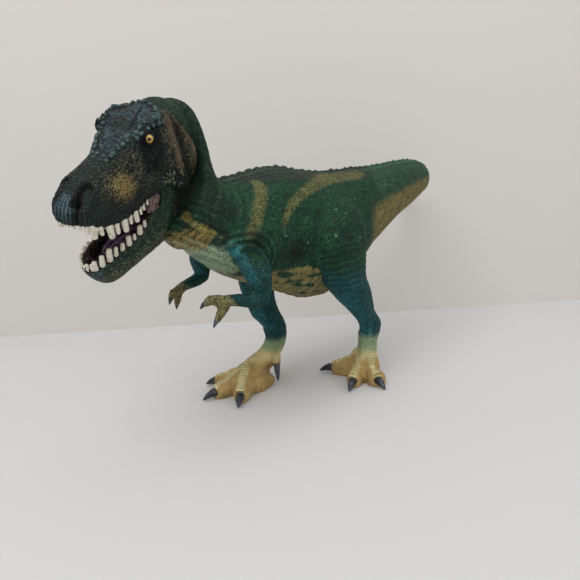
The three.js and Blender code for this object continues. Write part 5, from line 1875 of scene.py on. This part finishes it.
@dataclass(frozen=True)
class ToothPaint:
    """Satin cream acrylic on moulded vinyl teeth, yellower and stained toward the gum."""

    cream: str = "#d6d1c0"
    stain: str = "#8f7f62"

    def build(self) -> bpy.types.Material:
        """Makes the material.

        Returns:
            The material.
        """
        material, tree, shader = new_material("satin_cream_tooth_paint")
        place = add_node(tree, "TexCoord").outputs["Object"]
        stains = add_node(tree, "TexNoise", {"Vector": place, "Scale": 1 / (1.6 * MM), "Detail": 3.0})
        share = add_node(tree, "MapRange", {0: stains, 1: 0.5, 2: 0.75, 3: 0.0, 4: 0.5}, **SOFT)
        mixed = add_node(tree, "Mix", {0: share, 6: linear(self.cream), 7: linear(self.stain)}, **COLOUR)
        streaks = add_node(tree, "TexNoise", {"Vector": place, "Scale": 1 / (0.5 * MM), "Detail": 2.0})
        bump = add_node(tree, "Bump", {"Height": streaks, "Strength": 0.4, "Distance": 0.06 * MM})
        connect(tree, shader, {"Base Color": mixed.outputs[2], "Normal": bump, "Roughness": 0.36})
        return material


@dataclass(frozen=True)
class Flesh:
    """Satin paint on the soft parts of the mouth: a colour, a darker one in the hollows, damp sheen."""

    name: str
    colour: str
    hollow: str
    roughness: float

    def build(self) -> bpy.types.Material:
        """Makes the material.

        Returns:
            The material.
        """
        material, tree, shader = new_material(self.name)
        place = add_node(tree, "TexCoord").outputs["Object"]
        mottle = add_node(tree, "TexNoise", {"Vector": place, "Scale": 1 / (2.0 * MM), "Detail": 4.0})
        share = add_node(tree, "MapRange", {0: mottle, 1: 0.35, 2: 0.68}, **SOFT)
        mixed = add_node(tree, "Mix", {0: share, 6: linear(self.hollow), 7: linear(self.colour)}, **COLOUR)
        buds = add_node(tree, "TexVoronoi", {"Vector": place, "Scale": 1 / (0.6 * MM)}, feature="SMOOTH_F1")
        bump = add_node(tree, "Bump", {"Height": buds, "Strength": 0.4, "Distance": 0.08 * MM}, invert=True)
        connect(tree, shader, {"Base Color": mixed.outputs[2], "Normal": bump, "Roughness": self.roughness})
        return material


@dataclass(frozen=True)
class PinPlastic:
    """Injection-moulded black POM: satin, with a faint mottle from the mould's flow."""

    colour: str = "#1b201e"

    def build(self) -> bpy.types.Material:
        """Makes the material.

        Returns:
            The material.
        """
        material, tree, shader = new_material("moulded_pom_pin")
        place = add_node(tree, "TexCoord").outputs["Object"]
        flow = add_node(tree, "TexNoise", {"Vector": place, "Scale": 1 / (1.5 * MM), "Detail": 3.0})
        rough = add_node(tree, "MapRange", {0: flow, 3: 0.34, 4: 0.5})
        connect(tree, shader, {"Base Color": linear(self.colour), "Roughness": rough})
        return material


@dataclass(frozen=True)
class ClawPaint:
    """Satin blue-black acrylic on the claws, rubbed a little paler where they are handled."""

    colour: str = "#20252f"
    rubbed: str = "#59606b"

    def build(self) -> bpy.types.Material:
        """Makes the material.

        Returns:
            The material.
        """
        material, tree, shader = new_material("satin_claw_paint")
        # Painted highlight: random patches of paler grey-blue over the blue-black
        wear = add_node(tree, "Attribute", attribute_name="wear").outputs["Fac"]
        share = add_node(tree, "MapRange", {0: wear, 1: 0.55, 2: 0.95, 3: 0.0, 4: 0.7}, **SOFT)
        mixed = add_node(tree, "Mix", {0: share, 6: linear(self.colour), 7: linear(self.rubbed)}, **COLOUR)
        place = add_node(tree, "TexCoord").outputs["Object"]
        grain = add_node(tree, "TexNoise", {"Vector": place, "Scale": 1 / (0.7 * MM), "Detail": 3.0})
        bump = add_node(tree, "Bump", {"Height": grain, "Strength": 0.5, "Distance": 0.08 * MM})
        connect(tree, shader, {"Base Color": mixed.outputs[2], "Normal": bump, "Roughness": 0.34})
        return material


HEAD_PAINT = PaintedVinyl(
    name="vinyl_painted_head",
    base="#262e2b",
    coats=(
        Coat("tan_speckle", "#635d43", 0.35, 1.2, 0.8),
        Coat("tan", "#8a7748", 0.35, 1.4, 0.85),
        Coat("teal", "#4a5f6b", 0.35, 1.5, 0.85),
        Coat("snout_teal", "#56737f", 0.6, 1.2, 0.75),
        Coat("cheek", "#5b6757", 0.35, 1.2, 0.9),
        Coat("rim", "#73644e", 0.4, 1.5, 0.85),
        Coat("beads", "#4f6c6a", 0.5, 1.0, 0.75),
        Coat("band", "#171a18", 0.25, 2.0, 0.9),
        Coat("patch", "#0a0e10", 0.25, 2.0, 0.95),
        # Painted shade in the nostril pits, the crease below them and the furrow on the crown
        Coat("nostril", "#050607", 0.1, 1.0, 1.0),
        Coat("inside", "#2a0e12", 0.1, 1.0, 1.0),
    ),
    wash="#080b0b",
    wash_cover=0.8,
    brushed="#66746f",
    brushed_cover=0.4,
    grain=0.75,
)
JAW_PAINT = PaintedVinyl(
    name="vinyl_painted_jaw",
    base="#2e3d37",
    coats=(
        Coat("rear", "#2f4739", 0.3, 3.0, 0.85),
        Coat("under", "#6d6950", 0.5, 1.2, 0.8),
        Coat("teal", "#38606b", 0.4, 2.0, 0.8),
        Coat("inside", "#250c10", 0.1, 1.0, 1.0),
    ),
    wash="#0a100e",
    wash_cover=0.8,
    brushed="#7d897b",
    brushed_cover=0.6,
    grain=0.95,
    pebble_share=0.65,
)


# Stage and camera


@dataclass
class Stage:
    """A pale floor and wall, soft studio light, and the camera where the photograph was taken."""

    picture: float = 580.0  # pixels across
    focal: float = 470.0  # pixels
    sensor: float = 36.0
    eye: tuple[float, float, float] = (167.3, 178.9, 102.0)
    azimuth: float = 42.0
    pitch: float = 10.99
    roll: float = -3.72
    # In metres
    floor_size: float = 4.0
    wall_size: float = 6.0
    wall_behind: float = 0.132
    lamps: tuple[tuple, ...] = (
        ("key", 0.9, 8.0, (-0.7, -0.3, 0.9)),
        ("fill", 1.2, 3.5, (0.2, -1.0, 0.6)),
        ("top", 1.0, 3.5, (0.1, 0.1, 1.1)),
    )
    lamp_aim: tuple[float, float, float] = (0, 0, 0.06)
    sky_strength: float = 0.55

    def build(self) -> None:
        """Sets up the stage, the camera and the light."""
        floor = self.plane("floor", self.floor_size, "#cbcbcc", 0.8)
        ahead = self.add_camera()
        # The wall stands square across the view, some way behind the figure
        wall = self.plane("wall", self.wall_size, "#cdcac6", 0.9)
        facing = Vector((ahead.x, ahead.y, 0)).normalized()
        turn = (-facing).to_track_quat("Z", "Y").to_matrix().to_4x4()
        wall.data.transform(Matrix.Translation(facing * self.wall_behind) @ turn)
        # Its back lets the eye through, so the figure shows from behind it too
        tree = wall.data.materials[0].node_tree
        faces = {0: add_node(tree, "NewGeometry").outputs["Backfacing"], 1: tree.nodes["Principled BSDF"],
                 2: add_node(tree, "BsdfTransparent")}
        connect(tree, tree.nodes["Material Output"], {"Surface": add_node(tree, "MixShader", faces)})
        self.add_light()

    def plane(self, name: str, size: float, colour: str, roughness: float) -> bpy.types.Object:
        """A flat sheet of the stage, painted matt.

        Args:
            name: Its name.
            size: Its side, in metres.
            colour: Its colour.
            roughness: How matt it is.

        Returns:
            The sheet, lying in the floor's plane.
        """
        material, tree, shader = new_material(f"pale_{name}")
        connect(tree, shader, {"Base Color": linear(colour), "Roughness": roughness})
        deselect()
        bpy.ops.mesh.primitive_plane_add(size=size, location=(0, 0, 0))
        sheet = bpy.context.object
        sheet.name = name
        sheet.data.materials.append(material)
        return sheet

    def add_camera(self) -> Vector:
        """Adds the camera.

        Returns:
            The way it looks.
        """
        camera_data = bpy.data.cameras.new("camera")
        camera_data.sensor_width = self.sensor
        camera_data.lens = self.focal / self.picture * self.sensor
        camera_data.clip_start, camera_data.clip_end = 0.01, 20
        camera = bpy.data.objects.new("camera", camera_data)
        bpy.context.scene.collection.objects.link(camera)
        azimuth, pitch, roll = (math.radians(angle) for angle in (self.azimuth, self.pitch, self.roll))
        ahead = Vector(
            (math.sin(azimuth) * math.cos(pitch), math.cos(azimuth) * math.cos(pitch), -math.sin(pitch))
        )
        level = Vector((math.cos(azimuth), -math.sin(azimuth), 0))
        down = ahead.cross(level)
        right = math.cos(roll) * level - math.sin(roll) * down
        below = math.sin(roll) * level + math.cos(roll) * down
        turn = Matrix((right, -below, -ahead)).transposed()
        place = FIGURE_PLACE @ Vector(self.eye)
        camera.matrix_world = Matrix.Translation(place * MM) @ turn.to_4x4()
        bpy.context.scene.camera = camera
        return ahead

    def add_light(self) -> None:
        """Adds three large soft lamps and an even pale sky."""
        # Each lamp's name, size in metres, power in watts and place
        for name, size, power, spot in self.lamps:
            lamp_data = bpy.data.lights.new(name, "AREA")
            lamp_data.size, lamp_data.energy = size, power
            lamp = bpy.data.objects.new(name, lamp_data)
            lamp.location = spot
            lamp.rotation_mode = "QUATERNION"
            lamp.rotation_quaternion = (Vector(spot) - Vector(self.lamp_aim)).to_track_quat("Z", "Y")
            bpy.context.scene.collection.objects.link(lamp)
        world = bpy.data.worlds.new("studio")
        world.use_nodes = True
        sky = {"Color": linear("#e6e4e0"), "Strength": self.sky_strength}
        connect(world.node_tree, world.node_tree.nodes["Background"], sky)
        bpy.context.scene.world = world
        bpy.context.scene.view_settings.view_transform = "Standard"


def main() -> None:
    """Builds the figure piece by piece."""
    logging.basicConfig(level=logging.INFO, format="%(message)s")
    for part in (Stage(), Trunk(), Skull(), LowerJaw(), Mouth(), Claws(), HingePin()):
        log.info("%s: %s", type(part).__name__, part.__doc__)
        part.build()


if __name__ == "__main__":
    main()
